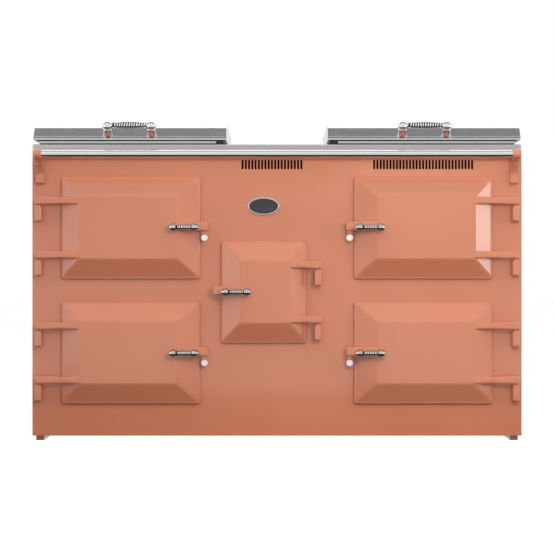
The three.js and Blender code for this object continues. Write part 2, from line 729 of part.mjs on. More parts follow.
function latchNose(door) {
  const edge = door.reach + door.width;
  const x = span(door, edge - door.handleBevel, edge + NOSE_REACH);
  const middle = doorMiddle(door) + NOSE_RISE;
  const y = [FIELD_Y, FIELD_Y + NOSE_DEPTH];
  const nose = block(x, y, around(middle, NOSE_HEIGHT));
  const bottom = middle - NOSE_HEIGHT / 2;
  const archRadius = (NOSE_REACH ** 2 / 4 + NOSE_ARCH ** 2) / (2 * NOSE_ARCH);
  const archX = door.hingeX - door.side * (edge + NOSE_REACH / 2);
  const archStart = [archX, FIELD_Y - 1, bottom + NOSE_ARCH - archRadius];
  const arch = rod(archRadius, NOSE_DEPTH + 2, archStart, Y_AXIS, 2 * ROUND);
  const arched = cut(nose, arch);
  if (!door.hasCatch) return arched;
  const tongueZ = [studZ(door) + STUD_RADIUS + TONGUE_GAP, middle];
  const tongueY = [FIELD_Y + NOSE_DEPTH - TONGUE_DEPTH, FIELD_Y + NOSE_DEPTH];
  return join(arched, block(around(studX(door), TONGUE_WIDTH), tongueY, tongueZ));
}

function doorCasting(door) {
  const rimBack = -DOOR_SEAL_GAP;
  const rimFront = rimBack - DOOR_RIM;
  const rim = slabAlongY(roundedRectangle(doorX(door), doorZ(door), DOOR_CORNER),
    [rimFront, rimBack]);
  const edge = door.reach + door.width;
  const foot = { x: doorX(door, DOOR_RIM_FLAT), y: rimBack - DOOR_RIM / 2,
    z: doorZ(door, DOOR_RIM_FLAT) };
  const start = { ...foot, y: rimFront };
  const field = { x: span(door, door.reach + door.hingeBevel, edge - door.handleBevel),
    y: FIELD_Y, z: doorZ(door, DOOR_BEVEL) };
  const pad = bevelledBlock(foot, start);
  const raised = bevelledBlock(start, field);
  return join(rim, pad, raised, ...hingeArms(door), latchNose(door));
}

function doorLiner(door) {
  const y = [-DOOR_SEAL_GAP + FACE_GAP, LINER_PLUG_DEPTH];
  const shape = roundedRectangle(openingX(door, -LINER_PLUG_GAP), openingZ(door, -LINER_PLUG_GAP),
    OPENING_CORNER);
  return slabAlongY(shape, y);
}

function hingeCarrier(door) {
  const barZ = armMiddles(door).map(neckMiddle);
  const bar = block(around(door.hingeX, CARRIER_BAR_WIDTH), [LINER_FRONT, LINER_FRONT + CARRIER_BAR],
    [barZ[0] - NECK, barZ[1] + NECK]);
  const posts = armMiddles(door).map((arm) => {
    const top = postTop(arm);
    const post = slabAlongZ(roundedRectangle(around(door.hingeX, POST_WIDTH),
      [FIELD_Y, -FACE_GAP], POST_CORNER), [top - POST_HEIGHT, top], 2);
    const neck = block(around(door.hingeX, NECK), [HINGE_Y, LINER_FRONT + CARRIER_BAR / 2],
      around(neckMiddle(arm), NECK));
    const pinLength = 2 + POST_GAP + HINGE_PIN_GRIP;
    const pin = rod(HINGE_PIN_RADIUS, pinLength, [door.hingeX, HINGE_Y, top - 2], Z_AXIS);
    return join(post, neck, pin);
  });
  return join(bar, ...posts);
}

function catchStud(door) {
  const profile = [
    [0, FACE_GAP],
    [STUD_SHANK_RADIUS, FACE_GAP],
    [STUD_SHANK_RADIUS, STUD_LENGTH - STUD_HEAD],
    [STUD_RADIUS, STUD_LENGTH - STUD_HEAD],
    [STUD_RADIUS, STUD_LENGTH - 1.5],
    [STUD_RADIUS - 2, STUD_LENGTH],
    [0, STUD_LENGTH],
  ];
  const forward = new THREE.Vector3(0, -1, 0);
  return turned(profile, [studX(door), 0, studZ(door)], forward, ROUND);
}

// ---------------------------------------------------------------- grips

function gripStart(door) {
  const length = INNER_FERRULE + GRIP_COIL_LENGTH + OUTER_FERRULE;
  return door.reach + door.width + GRIP_OVERHANG - length;
}

function gripFrame(door) {
  const coilEnd = INNER_FERRULE + GRIP_COIL_LENGTH;
  const profile = [
    [0, 0],
    [FERRULE_RADIUS * 0.55, INNER_FERRULE * 0.08],
    [FERRULE_RADIUS * 0.88, INNER_FERRULE * 0.3],
    [FERRULE_RADIUS, INNER_FERRULE * 0.6],
    [FERRULE_RADIUS, INNER_FERRULE * 0.92],
    [FERRULE_RADIUS * 0.9, INNER_FERRULE],
    [GRIP_ROD_RADIUS, INNER_FERRULE],
    [GRIP_ROD_RADIUS, coilEnd],
    [FERRULE_RADIUS * 0.9, coilEnd],
    [FERRULE_RADIUS, coilEnd + OUTER_FERRULE * 0.1],
    [FERRULE_RADIUS * 0.96, coilEnd + OUTER_FERRULE * 0.4],
    [FERRULE_RADIUS * 0.68, coilEnd + OUTER_FERRULE * 0.75],
    [FERRULE_RADIUS * 0.3, coilEnd + OUTER_FERRULE * 0.95],
    [0, coilEnd + OUTER_FERRULE],
  ];
  const towardsEdge = new THREE.Vector3(-door.side, 0, 0);
  const start = door.hingeX - door.side * gripStart(door);
  const middle = doorMiddle(door);
  const bar = turned(profile, [start, GRIP_Y, middle], towardsEdge, SMALL_ROUND);
  const stems = [INNER_FERRULE * 0.5, coilEnd + OUTER_FERRULE * 0.4].map((along) => {
    const x = start - door.side * along;
    return rod(GRIP_STEM_RADIUS, GRIP_STANDOFF - FACE_GAP, [x, GRIP_Y, middle], Y_AXIS);
  });
  return join(bar, ...stems);
}

function gripCoilPoints(door) {
  const length = GRIP_COIL_LENGTH - 2 * FACE_GAP;
  const middleRadius = GRIP_COIL_RADIUS - GRIP_WIRE / 2;
  const points = coilPoints(length, GRIP_TURNS, GRIP_WIRE, () => middleRadius);
  const start = door.hingeX - door.side * (gripStart(door) + INNER_FERRULE + FACE_GAP);
  const from = door.side > 0 ? start - length : start;
  return points.map((point) => point.add(new THREE.Vector3(from, GRIP_Y, doorMiddle(door))));
}

// ---------------------------------------------------------------- towel rail

function bracketShape() {
  const shape = new THREE.Shape();
  const r = BRACKET_BOSS_RADIUS;
  const back = -FACE_GAP;
  const footFront = back - BRACKET_FOOT_DEPTH;
  const bossY = -RAIL_STANDOFF;
  const bossTop = RAIL_HEIGHT + r;
  const underHob = PANEL_TOP - BRACKET_HOB_GAP;
  const pastHob = -HOB_PROUD - BRACKET_HOB_GAP;
  shape.moveTo(back, BRACKET_FOOT_BOTTOM);
  shape.lineTo(back, underHob);
  shape.lineTo(pastHob, underHob);
  shape.quadraticCurveTo(pastHob - 4, underHob, bossY / 2 - 6, bossTop - BRACKET_ROUND);
  shape.quadraticCurveTo(bossY + BRACKET_ROUND, bossTop, bossY, bossTop);
  shape.absarc(bossY, RAIL_HEIGHT, r, Math.PI / 2, Math.PI * 1.25, false);
  const sweepZ = RAIL_HEIGHT - BRACKET_SWEEP;
  const footRound = BRACKET_FOOT_BOTTOM + BRACKET_ROUND;
  shape.quadraticCurveTo(footFront - 6, sweepZ, footFront, BRACKET_FOOT_TOP);
  shape.lineTo(footFront, footRound);
  shape.quadraticCurveTo(footFront, BRACKET_FOOT_BOTTOM, footFront + BRACKET_ROUND,
    BRACKET_FOOT_BOTTOM);
  return shape;
}

const bracketInner = () => HALF_WIDTH - BRACKET_INSET - BRACKET_WIDTH;

function railBracket(side) {
  const x = [side * bracketInner(), side * (bracketInner() + BRACKET_WIDTH)];
  const body = slabAlongX(bracketShape(), [Math.min(...x), Math.max(...x)]);
  const inward = side * (bracketInner() - 1);
  const bore = rod(RAIL_RADIUS + RAIL_BORE_GAP, RAIL_END_DEPTH + 1 + FACE_GAP,
    [inward, -RAIL_STANDOFF, RAIL_HEIGHT], new THREE.Vector3(side, 0, 0), ROUND);
  return cut(body, bore);
}

function towelRail() {
  const half = bracketInner() + RAIL_END_DEPTH;
  return rod(RAIL_RADIUS, 2 * half, [-half, -RAIL_STANDOFF, RAIL_HEIGHT], X_AXIS, ROUND);
}

function badgePlate() {
  const oval = new THREE.Shape();
  oval.absellipse(BADGE_X, BADGE_Z, BADGE_WIDTH / 2, BADGE_HEIGHT / 2, 0, 2 * Math.PI, false, 0);
  return slabAlongY(oval, [-FACE_GAP - BADGE_THICKNESS, -FACE_GAP], ROUND);
}

// ---------------------------------------------------------------- lids

const LID_LEAN_LENGTH = Math.hypot(LID_LEAN_BACK, LID_LEAN_UP);
const LEAN_UP = new THREE.Vector3(0, LID_LEAN_BACK, LID_LEAN_UP).divideScalar(LID_LEAN_LENGTH);
const LEAN_OUT = new THREE.Vector3(0, -LID_LEAN_UP, LID_LEAN_BACK).divideScalar(LID_LEAN_LENGTH);

function lidProfile(inset, bottom) {
  const shape = new THREE.Shape();
  const front = LID_SETBACK + inset;
  const rimTop = LID_BOTTOM + LID_RIM - inset * 0.4;
  const leanTop = rimTop + LID_LEAN_UP - inset * 0.4;
  const facetBack = front + LID_LEAN_BACK + LID_FACET_BACK;
  shape.moveTo(front, bottom);
  shape.lineTo(LID_BACK - inset, bottom);
  shape.lineTo(LID_BACK - inset, LID_TOP - inset);
  shape.lineTo(facetBack, LID_TOP - inset);
  shape.lineTo(front + LID_LEAN_BACK, leanTop);
  shape.lineTo(front, rimTop);
  return shape;
}

function lidLug(middleX) {
  const r = LID_LUG_RADIUS;
  const shape = new THREE.Shape();
  shape.moveTo(LID_BACK - LID_WALL / 2, LID_PIN_Z - r);
  shape.lineTo(LID_PIN_Y, LID_PIN_Z - r);
  shape.absarc(LID_PIN_Y, LID_PIN_Z, r, -Math.PI / 2, Math.PI / 2, false);
  shape.lineTo(LID_BACK - LID_WALL / 2, LID_PIN_Z + r);
  const x = around(middleX, LID_LUG_WIDTH);
  const bore = rod(LID_PIN_RADIUS + RUNNING_GAP, LID_LUG_WIDTH + 2,
    [x[0] - 1, LID_PIN_Y, LID_PIN_Z], X_AXIS);
  return cut(slabAlongX(shape, x), bore);
}

function lugMiddles(side) {
  return [-1, 1].map((end) => side * LID_CENTRE_X + end * (LID_WIDTH / 2 - LID_LUG_INSET));
}

function lid(side) {
  const x = around(side * LID_CENTRE_X, LID_WIDTH);
  const outside = slabAlongX(lidProfile(0, LID_BOTTOM), x);
  const hollow = slabAlongX(lidProfile(LID_WALL, LID_BOTTOM - 1), [x[0] + LID_WALL, x[1] - LID_WALL]);
  return join(cut(outside, hollow), ...lugMiddles(side).map(lidLug));
}

function lidHinge(side) {
  const [near, far] = lugMiddles(side).map((x, i) => {
    const clear = LID_LUG_WIDTH / 2 + LID_EAR_GAP;
    return i === 0 ? x - clear - LID_EAR_WIDTH : x + clear + LID_EAR_WIDTH;
  });
  const floor = HOB_HEIGHT + FACE_GAP;
  const y = around(LID_PIN_Y, 2 * LID_LUG_RADIUS);
  const base = block([near, far], y, [floor, floor + LID_HINGE_BASE]);
  const ears = lugMiddles(side).flatMap((middle) => [-1, 1].map((end) => {
    const inner = middle + end * (LID_LUG_WIDTH / 2 + LID_EAR_GAP);
    const top = LID_PIN_Z + LID_PIN_RADIUS + 3;
    return block([inner, inner + end * LID_EAR_WIDTH], y, [floor, top]);
  }));
  const pin = rod(LID_PIN_RADIUS, far - near, [near, LID_PIN_Y, LID_PIN_Z], X_AXIS);
  return join(base, ...ears, pin);
}

// Middle of the handle's rod, in front of the lid's leaning face.
function handleAxis() {
  const foot = new THREE.Vector3(0, LID_SETBACK, LID_BOTTOM + LID_RIM);
  foot.addScaledVector(LEAN_UP, LID_HANDLE_UP);
  return foot.addScaledVector(LEAN_OUT, LID_HANDLE_STANDOFF);
}

function lidHandleFrame(side) {
  const axis = handleAxis();
  const half = LID_HANDLE_LENGTH / 2;
  const middle = side * LID_CENTRE_X;
  const postX = half - LID_POST_BASE_RADIUS;
  const postEnd = LID_HANDLE_STANDOFF - FACE_GAP;
  const profile = [
    [0, -LID_POST_RADIUS],
    [LID_POST_RADIUS * 0.62, -LID_POST_RADIUS * 0.82],
    [LID_POST_RADIUS * 0.95, -LID_POST_RADIUS * 0.3],
    [LID_POST_RADIUS, LID_POST_RADIUS * 0.3],
    [LID_POST_NECK_RADIUS, postEnd * 0.3],
    [LID_POST_NECK_RADIUS * 1.1, postEnd * 0.65],
    [LID_POST_BASE_RADIUS * 0.86, postEnd * 0.86],
    [LID_POST_BASE_RADIUS, postEnd * 0.95],
    [LID_POST_BASE_RADIUS, postEnd],
    [0, postEnd],
  ];
  const inward = LEAN_OUT.clone().negate();
  const posts = [-1, 1].map((end) =>
    turned(profile, [middle + end * postX, axis.y, axis.z], inward, SMALL_ROUND));
  const collarEnd = LID_COIL_LENGTH / 2;
  const rodShape = [
    [0, -postX],
    [LID_COIL_END_RADIUS, -postX],
    [LID_COIL_END_RADIUS, -collarEnd],
    [LID_ROD_RADIUS, -collarEnd],
    [LID_ROD_RADIUS, collarEnd],
    [LID_COIL_END_RADIUS, collarEnd],
    [LID_COIL_END_RADIUS, postX],
    [0, postX],
  ];
  const core = turned(rodShape, [middle, axis.y, axis.z], X_AXIS, SMALL_ROUND);
  return join(core, ...posts);
}

function lidCoilPoints(side) {
  const axis = handleAxis();
  const length = LID_COIL_LENGTH - 2 * FACE_GAP;
  const swell = LID_COIL_MIDDLE_RADIUS - LID_COIL_END_RADIUS;
  const radiusAt = (share) =>
    LID_COIL_END_RADIUS - LID_WIRE / 2 + swell * Math.sin(Math.PI * share);
  const points = coilPoints(length, LID_COIL_TURNS, LID_WIRE, radiusAt);
  const from = new THREE.Vector3(side * LID_CENTRE_X - length / 2, axis.y, axis.z);
  return points.map((point) => point.add(from));
}

// ---------------------------------------------------------------- assembly

const SIDES = [['left', -1], ['right', 1]];

addNode('front_plate', frontPlate(), 'enamel');
addNode('back_panel', backPanel(), 'zinc');
addNode('base_tray', baseTray(), 'zinc');
addNode('hob_top', hobTop(), 'steel');
addNode('cable_grommet', grommet(), 'rubber');
addNode('insulation', insulation(), 'wool');
addNode('badge_plate', badgePlate(), 'chrome');
addNode('towel_rail', towelRail(), 'chrome');
for (const [word, side] of SIDES) {
  addNode(`side_panel_${word}`, sidePanel(side), 'enamel');
  addNode(`runner_${word}`, runner(side), 'iron');
  addNode(`hot_plate_${word}`, hotPlate(side), 'iron');
  addNode(`rail_bracket_${word}`, railBracket(side), 'enamel');
}

addNode('control_box', controlBox(), 'ovenEnamel');
for (let i = 0; i < KNOB_COUNT; i++) addNode(`control_knob_${i + 1}`, knob(i), 'blackPlastic');

for (const door of OVEN_DOORS) {
  addNode(`oven_liner_${door.name}`, openBox(door, OVEN_DEPTH), 'ovenEnamel');
  addNode(`catch_stud_${door.name}`, catchStud(door), 'stud');
  addNode(`door_liner_${door.name}`, doorLiner(door), 'zinc');
}
for (const door of DOORS) {
  addNode(`door_${door.name}`, doorCasting(door), 'enamel');
  addNode(`hinge_posts_${door.name}`, hingeCarrier(door), 'enamel');
  addNode(`grip_frame_${door.name}`, gripFrame(door), 'chrome');
  const points = gripCoilPoints(door);
  addNode(`grip_coil_${door.name}`, tubeAlong(points, GRIP_WIRE / 2, COIL_SIDES), 'chrome');
  console.log(`grip coil ${door.name}: least gap ${leastGap(points, GRIP_WIRE).toFixed(2)} mm`);
}
for (const [word, side] of SIDES) {
  addNode(`lid_${word}`, lid(side), 'steel');
  addNode(`lid_hinge_${word}`, lidHinge(side), 'zinc');
  addNode(`lid_handle_frame_${word}`, lidHandleFrame(side), 'chrome');
  const points = lidCoilPoints(side);
  addNode(`lid_coil_${word}`, tubeAlong(points, LID_WIRE / 2, COIL_SIDES), 'chrome');
  console.log(`lid coil ${word}: least gap ${leastGap(points, LID_WIRE).toFixed(2)} mm`);
}

// The origin goes to the middle of the footprint, on the floor.
const box = new THREE.Box3().setFromObject(cooker);
const middle = box.getCenter(new THREE.Vector3());
cooker.position.set(-middle.x, -middle.y, -box.min.z);

export default cooker;
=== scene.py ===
# %% [markdown]
# # A cast iron range cooker, dressed piece by piece
# The construction model already holds every part of the cooker at its real size.
# This lesson gives those parts their real surfaces: gloss enamel on cast iron, polished
# steel, chrome and black iron. Everything is in metres, the front faces -Y and Z points up.
# The first cell loads the construction model. Its boxes are the only sizes we measure from.

# %% Load the construction model
import json
import math

import bmesh
import bpy
from mathutils import Matrix, Vector


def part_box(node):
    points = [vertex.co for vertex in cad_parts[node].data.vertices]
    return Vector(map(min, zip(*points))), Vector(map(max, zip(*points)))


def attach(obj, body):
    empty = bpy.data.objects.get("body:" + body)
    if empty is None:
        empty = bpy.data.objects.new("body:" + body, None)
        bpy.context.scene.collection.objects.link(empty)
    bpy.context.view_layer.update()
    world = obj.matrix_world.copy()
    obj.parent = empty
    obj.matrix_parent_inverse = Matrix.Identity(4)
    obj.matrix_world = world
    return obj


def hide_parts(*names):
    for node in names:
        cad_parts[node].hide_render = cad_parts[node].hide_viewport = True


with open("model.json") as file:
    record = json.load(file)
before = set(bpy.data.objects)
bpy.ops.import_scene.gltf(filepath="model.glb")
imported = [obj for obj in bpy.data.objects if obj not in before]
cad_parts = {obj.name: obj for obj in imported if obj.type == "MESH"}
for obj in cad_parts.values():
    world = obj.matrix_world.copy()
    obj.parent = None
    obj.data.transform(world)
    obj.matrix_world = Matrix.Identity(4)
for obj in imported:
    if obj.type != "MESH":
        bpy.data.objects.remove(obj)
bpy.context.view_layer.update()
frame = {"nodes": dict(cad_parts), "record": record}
PLATE_LOW, PLATE_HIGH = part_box("front_plate")
PANEL = PLATE_LOW.y

# %% [markdown]
# ## Camera
# A product photographer stands well back with a long lens, level with the middle of the
# front, so that upright lines stay upright. The camera here does the same: no tilt, no
# shift. The distance is read from how much the inner ends of the lids show.

# %% Place the camera
EYE_HEIGHT = 0.5
CAMERA_DISTANCE = 4.95
PICTURE_WIDTH = 1.696  # metres of front panel that the picture spans
SENSOR = 36.0


def in_scene(name, data):
    """Makes an object of some data and links it to the scene."""
    made = bpy.data.objects.new(name, data)
    bpy.context.scene.collection.objects.link(made)
    return made


camera_data = bpy.data.cameras.new("camera")
camera_data.sensor_width = SENSOR
camera_data.lens = SENSOR * CAMERA_DISTANCE / PICTURE_WIDTH
camera = in_scene("camera", camera_data)
camera.location = (0, PANEL - CAMERA_DISTANCE, EYE_HEIGHT)
camera.rotation_euler = (math.radians(90), 0, 0)
bpy.context.scene.camera = camera
print("lens", round(camera_data.lens, 1), "mm")

# %% [markdown]
# ## Drawing outlines
# Most pieces start as a flat outline: a rounded rectangle, an arc, or a corner rounded by
# a curve. A few short helpers draw them. Small sections are easier to read in millimetres,
# so they are written that way and turned into metres by one function.

# %% Ranges, arcs and rounded outlines
def grown(pair, amount):
    return pair[0] - amount, pair[1] + amount


def around(middle, half):
    """The (low, high) range on both sides of a middle."""
    return middle - half, middle + half


def centre(pair):
    return (pair[0] + pair[1]) / 2


def in_order(a, b):
    return (min(a, b), max(a, b))


def box_range(node):
    """A node's extent as three (low, high) pairs."""
    low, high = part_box(node)
    return [(low[i], high[i]) for i in range(3)]


def mm(*pairs, shift=0.0):
    """Pairs written in millimetres, with the second number moved on by a shift in metres."""
    return [(a / 1000, shift + b / 1000) for a, b in pairs]


def arc(middle, radius, degrees):
    """Points on a circle at the given angles."""
    turns = [math.radians(angle) for angle in degrees]
    return [(middle[0] + radius * math.cos(t), middle[1] + radius * math.sin(t)) for t in turns]


def quarter(radius, steps):
    """Insets and drops that round an edge, from its side up to its face."""
    turns = [math.pi / 2 * i / steps for i in range(steps + 1)]
    return [(radius * (1 - math.cos(t)), radius * (1 - math.sin(t))) for t in turns]


def rounded_rectangle(u, v, radius, steps=5):
    """Corners of a rounded rectangle as (u, v) pairs, anticlockwise."""
    radius = min(radius, (u[1] - u[0]) / 2.001, (v[1] - v[0]) / 2.001)
    (u0, u1), (v0, v1) = grown(u, -radius), grown(v, -radius)
    corners = ((u1, v0, -90), (u1, v1, 0), (u0, v1, 90), (u0, v0, 180))
    return [point for a, b, start in corners
            for point in arc((a, b), radius, [start + 90 * i / steps for i in range(steps + 1)])]


def shrunk(u, v, inset, radius, steps=5):
    """A rounded rectangle drawn inside two ranges, or outside them with a negative inset."""
    return rounded_rectangle(grown(u, -inset), grown(v, -inset), radius, steps)


def curve_through(start, control, end, steps=8):
    """Points on a quadratic curve, without its start."""
    a, b, c = Vector(start), Vector(control), Vector(end)
    shares = [i / steps for i in range(1, steps + 1)]
    return [tuple(a * (1 - t) ** 2 + b * 2 * t * (1 - t) + c * t ** 2) for t in shares]


def rounded_outline(points, radii, steps=4):
    """Rounds each corner of a closed outline by its own radius."""
    soft = []
    for i, (here, radius) in enumerate(zip(points, radii)):
        a, b, c = Vector(points[i - 1]), Vector(here), Vector(points[(i + 1) % len(points)])
        start = b + (a - b).normalized() * radius
        end = b + (c - b).normalized() * radius
        soft += [tuple(start), *curve_through(start, b, end, steps)]
    return soft


def eased(knots, steps=8):
    """Points through (x, z) knots, with a soft change of height between each two."""
    points = [knots[0]]
    for (x0, z0), (x1, z1) in zip(knots, knots[1:]):
        count = 1 if z0 == z1 else steps
        for share in [i / count for i in range(1, count + 1)]:
            points.append((x0 + (x1 - x0) * share, z0 + (z1 - z0) * share * share * (3 - 2 * share)))
    return points


def placed(pairs, depth, axis="Y"):
    """Stands (u, v) pairs up in space, with the given depth along one axis."""
    at = "XYZ".index(axis)
    return [Vector((*pair[:at], depth, *pair[at:])) for pair in pairs]


def stepped(u, v, steps, face, axis, corner, growth=0.0, points=5):
    """Rounded rectangles for a loft. Each step is an inset and a distance below the face."""
    return [placed(shrunk(u, v, inset, corner + inset * growth, points), face - drop, axis)
            for inset, drop in steps]


# %% [markdown]
# ## Making meshes
# Each visible piece is built as a mesh in code. Five small tools cover the whole cooker:
# a loft through rings for doors and lids, a bar with rounded edges for arms and posts,
# a turned shape for knobs and ferrules, a swept tube for coils, and a plate with holes.
# Keeping them short makes it easy to see which one a piece uses, and why.

# %% Rings, lofts and rounded bars
def smoothed(mesh, angle):
    mesh.polygons.foreach_set("use_smooth", [True] * len(mesh.polygons))
    mesh.set_sharp_from_angle(angle=math.radians(angle))
    return mesh


def mesh_from(shape, smooth_angle=40):
    """Finishes a bmesh: faces out, smooth except across sharp edges. A mesh is left as it is."""
    if isinstance(shape, bpy.types.Mesh):
        return shape
    bmesh.ops.remove_doubles(shape, verts=shape.verts, dist=1e-6)
    bmesh.ops.dissolve_degenerate(shape, edges=shape.edges, dist=1e-7)
    bmesh.ops.recalc_face_normals(shape, faces=shape.faces)
    mesh = bpy.data.meshes.new("mesh")
    shape.to_mesh(mesh)
    shape.free()
    return smoothed(mesh, smooth_angle)


def new_piece(name, shape, body, material, replaces=(), weighted=True, smooth_angle=40):
    """Puts a shape in the scene as a named piece that moves with one body of the cooker.

    Weighted normals let the large flat faces set the shading, so that only the rounded
    edges catch light. Turned pieces and wires don't need them."""
    piece = in_scene(name, mesh_from(shape, smooth_angle))
    piece.data.materials.clear()
    piece.data.materials.append(material)
    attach(piece, body)
    if replaces:
        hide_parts(*replaces)
    if weighted:
        step = piece.modifiers.new("weighted_normals", "WEIGHTED_NORMAL")
        step.keep_sharp = True
        step.weight = 90
    return piece


def skin(shape, rows, caps=True):
    """Joins rows of points with faces. A row with one point is the tip of a turned shape."""
    rows = [[shape.verts.new(point) for point in row] for row in rows]
    sides = max(len(row) for row in rows)
    for low, high in zip(rows, rows[1:]):
        for i in range(sides):
            j = (i + 1) % sides
            corners = (low[i % len(low)], low[j % len(low)], high[j % len(high)], high[i % len(high)])
            unique = list(dict.fromkeys(corners))
            if len(unique) > 2:
                shape.faces.new(unique)
    if caps:
        shape.faces.new(rows[0][::-1])
        shape.faces.new(rows[-1])
    return shape


def loft(rings):
    """Skins a list of equal rings and caps both ends."""
    return skin(bmesh.new(), rings)


def add_shape(shape, other):
    """Copies one bmesh into another, as a separate shell."""
    mesh = bpy.data.meshes.new("part")
    other.to_mesh(mesh)
    other.free()
    shape.from_mesh(mesh)
    bpy.data.meshes.remove(mesh)
    return shape


def bar(x, y, z, edge=0.003, steps=3, shape=None):
    """A block whose edges are all rounded by the same radius."""
    block = bmesh.new()
    bmesh.ops.create_cube(block, size=1)
    size = Vector([high - low for low, high in (x, y, z)])
    middle = Vector([low + high for low, high in (x, y, z)]) / 2
    bmesh.ops.scale(block, vec=size, verts=block.verts)
    bmesh.ops.translate(block, vec=middle, verts=block.verts)
    edge = min(edge, min(size) * 0.49)
    bmesh.ops.bevel(block, geom=block.edges[:], offset=edge, segments=steps, profile=0.5,
                    affect="EDGES")
    return block if shape is None else add_shape(shape, block)


# %% [markdown]
# Turned shapes are drawn as half a section and spun, exactly as on a lathe. Tubes carry a
# small ring along a path. The ring is kept from twisting by always projecting the last
# normal onto the new section, which is called a parallel transport frame.

# %% Turned shapes, tubes and plates
def turned(profile, origin, direction, sides=48, shape=None):
    """Spins (radius, distance) pairs about a line through origin."""
    turn = Vector((0, 0, 1)).rotation_difference(Vector(direction))
    rows = []
    for radius, along in profile:
        angles = [2 * math.pi * i / sides for i in range(sides if radius else 1)]
        rows.append([Vector(origin) + turn @ Vector((radius * math.cos(a), radius * math.sin(a), along))
                     for a in angles])
    return skin(shape or bmesh.new(), rows, caps=False)


def tube(points, radius, sides=14, shape=None):
    """A closed tube along a path."""
    points = [Vector(p) for p in points]
    angles = [2 * math.pi * k / sides for k in range(sides)]
    normal = Vector((0, 0, 1))
    rows = []
    for i, point in enumerate(points):
        tangent = (points[min(i + 1, len(points) - 1)] - points[max(i - 1, 0)]).normalized()
        if abs(normal.dot(tangent)) > 0.99:
            normal = Vector((0, 1, 0))
        normal = (normal - tangent * normal.dot(tangent)).normalized()
        side = tangent.cross(normal)
        rows.append([point + (normal * math.cos(a) + side * math.sin(a)) * radius for a in angles])
    return skin(shape or bmesh.new(), rows)


def worked_out(made):
    """The mesh of an object with its curve or its modifiers worked out. The object goes."""
    bpy.context.view_layer.update()
    evaluated = made.evaluated_get(bpy.context.evaluated_depsgraph_get())
    mesh = bpy.data.meshes.new_from_object(evaluated)
    bpy.data.objects.remove(made)
    return mesh


def slab(outline, holes, depth, axis="Y", edge=0.001):
    """A flat plate between two depths along one axis, cut through by any number of outlines."""
    curve = bpy.data.curves.new("slab", "CURVE")
    curve.dimensions, curve.fill_mode = "2D", "BOTH"
    curve.extrude = (depth[1] - depth[0]) / 2 - edge
    curve.bevel_depth, curve.offset = edge, -edge
    curve.bevel_resolution = 2 if edge < 0.003 else 5
    for ring in [outline, *holes]:
        spline = curve.splines.new("POLY")
        spline.points.add(len(ring) - 1)
        spline.use_cyclic_u = True
        for point, (u, v) in zip(spline.points, ring):
            point.co = (u, v, 0, 1)
    turns = {"X": Matrix(((0, 0, 1), (1, 0, 0), (0, 1, 0))),
             "Y": Matrix(((1, 0, 0), (0, 0, -1), (0, 1, 0))), "Z": Matrix.Identity(3)}
    mesh = worked_out(in_scene("slab", curve))
    middle = placed([(0, 0)], centre(depth), axis)[0]
    mesh.transform(Matrix.Translation(middle) @ turns[axis].to_4x4())
    shape = bmesh.new()
    shape.from_mesh(mesh)
    plate = mesh_from(shape, 50)
    for face in plate.polygons:  # flat sides, so that nothing bends in their mirror
        face.use_smooth = abs(face.normal.dot(turns[axis].col[2])) < 0.9999
    return plate


def joined(parts, operation="UNION", smooth_angle=40):
    """Joins or cuts closed shapes into one clean mesh with Blender's exact boolean."""
    base, *tools = [in_scene("part", mesh_from(part)) for part in parts]
    for tool in tools:
        step = base.modifiers.new("step", "BOOLEAN")
        step.operation, step.solver, step.object = operation, "EXACT", tool
    mesh = worked_out(base)
    for tool in tools:
        bpy.data.objects.remove(tool)
    return smoothed(mesh, smooth_angle)


# %% [markdown]
# ## Finishes
# Vitreous enamel is glass fused to iron. It is glossy, but never as flat as a mirror: it
# has a slow ripple, and its colour drifts a little where the coat is thicker. Two noise
# textures give the drift, and a third one, through a Bump node, gives the ripple. A value
# that is the same everywhere is typed straight into the shader's socket.

# %% Helpers for node materials
def feed(node, **inputs):
    """Fills a node's inputs. A plain value is typed in, another node's output is linked."""
    for name, value in inputs.items():
        socket = node.inputs[name.replace("_", " ")]
        if isinstance(value, bpy.types.NodeSocket):
            node.id_data.links.new(value, socket)
        else:
            socket.default_value = value
    return node


def add_node(tree, kind, **inputs):
    return feed(tree.nodes.new("ShaderNode" + kind), **inputs)


def material_with(name, **sockets):
    """A new material whose shader has the given plain values."""
    material = bpy.data.materials.new(name)
    material.use_nodes = True
    tree = material.node_tree
    return material, tree, feed(tree.nodes["Principled BSDF"], **sockets)


def noise(tree, scale, detail=3.0, stretch=(1, 1, 1), roughness=0.5):
    """A noise texture in metres, stretched along the object's own axes."""
    place = add_node(tree, "TexCoord").outputs["Object"]
    mapping = add_node(tree, "Mapping", Scale=stretch, Vector=place).outputs["Vector"]
    return add_node(tree, "TexNoise", Scale=scale, Detail=detail, Roughness=roughness,
                    Vector=mapping).outputs["Fac"]


def ramp(tree, source, *stops):
    """Turns a grey value into a colour between two (place, colour) stops."""
    node = add_node(tree, "ValToRGB", Fac=source)
    for element, (place, colour) in zip(node.color_ramp.elements, stops):
        element.position = place
        element.color = (*colour, 1)
    return node.outputs["Color"]


def between(tree, source, low, high):
    """Maps a texture's middle range onto two numbers."""
    return add_node(tree, "MapRange", Value=source, From_Min=0.3, From_Max=0.7,
                    To_Min=low, To_Max=high).outputs["Result"]


def bump(tree, source, strength, distance):
    return add_node(tree, "Bump", Height=source, Strength=strength, Distance=distance).outputs["Normal"]


def from_screen(*colour):
    """A colour picked on a screen, 0 to 255, as the linear numbers that shaders use."""
    shares = [value / 255 for value in colour]
    return tuple(s / 12.92 if s <= 0.04045 else ((s + 0.055) / 1.055) ** 2.4 for s in shares)


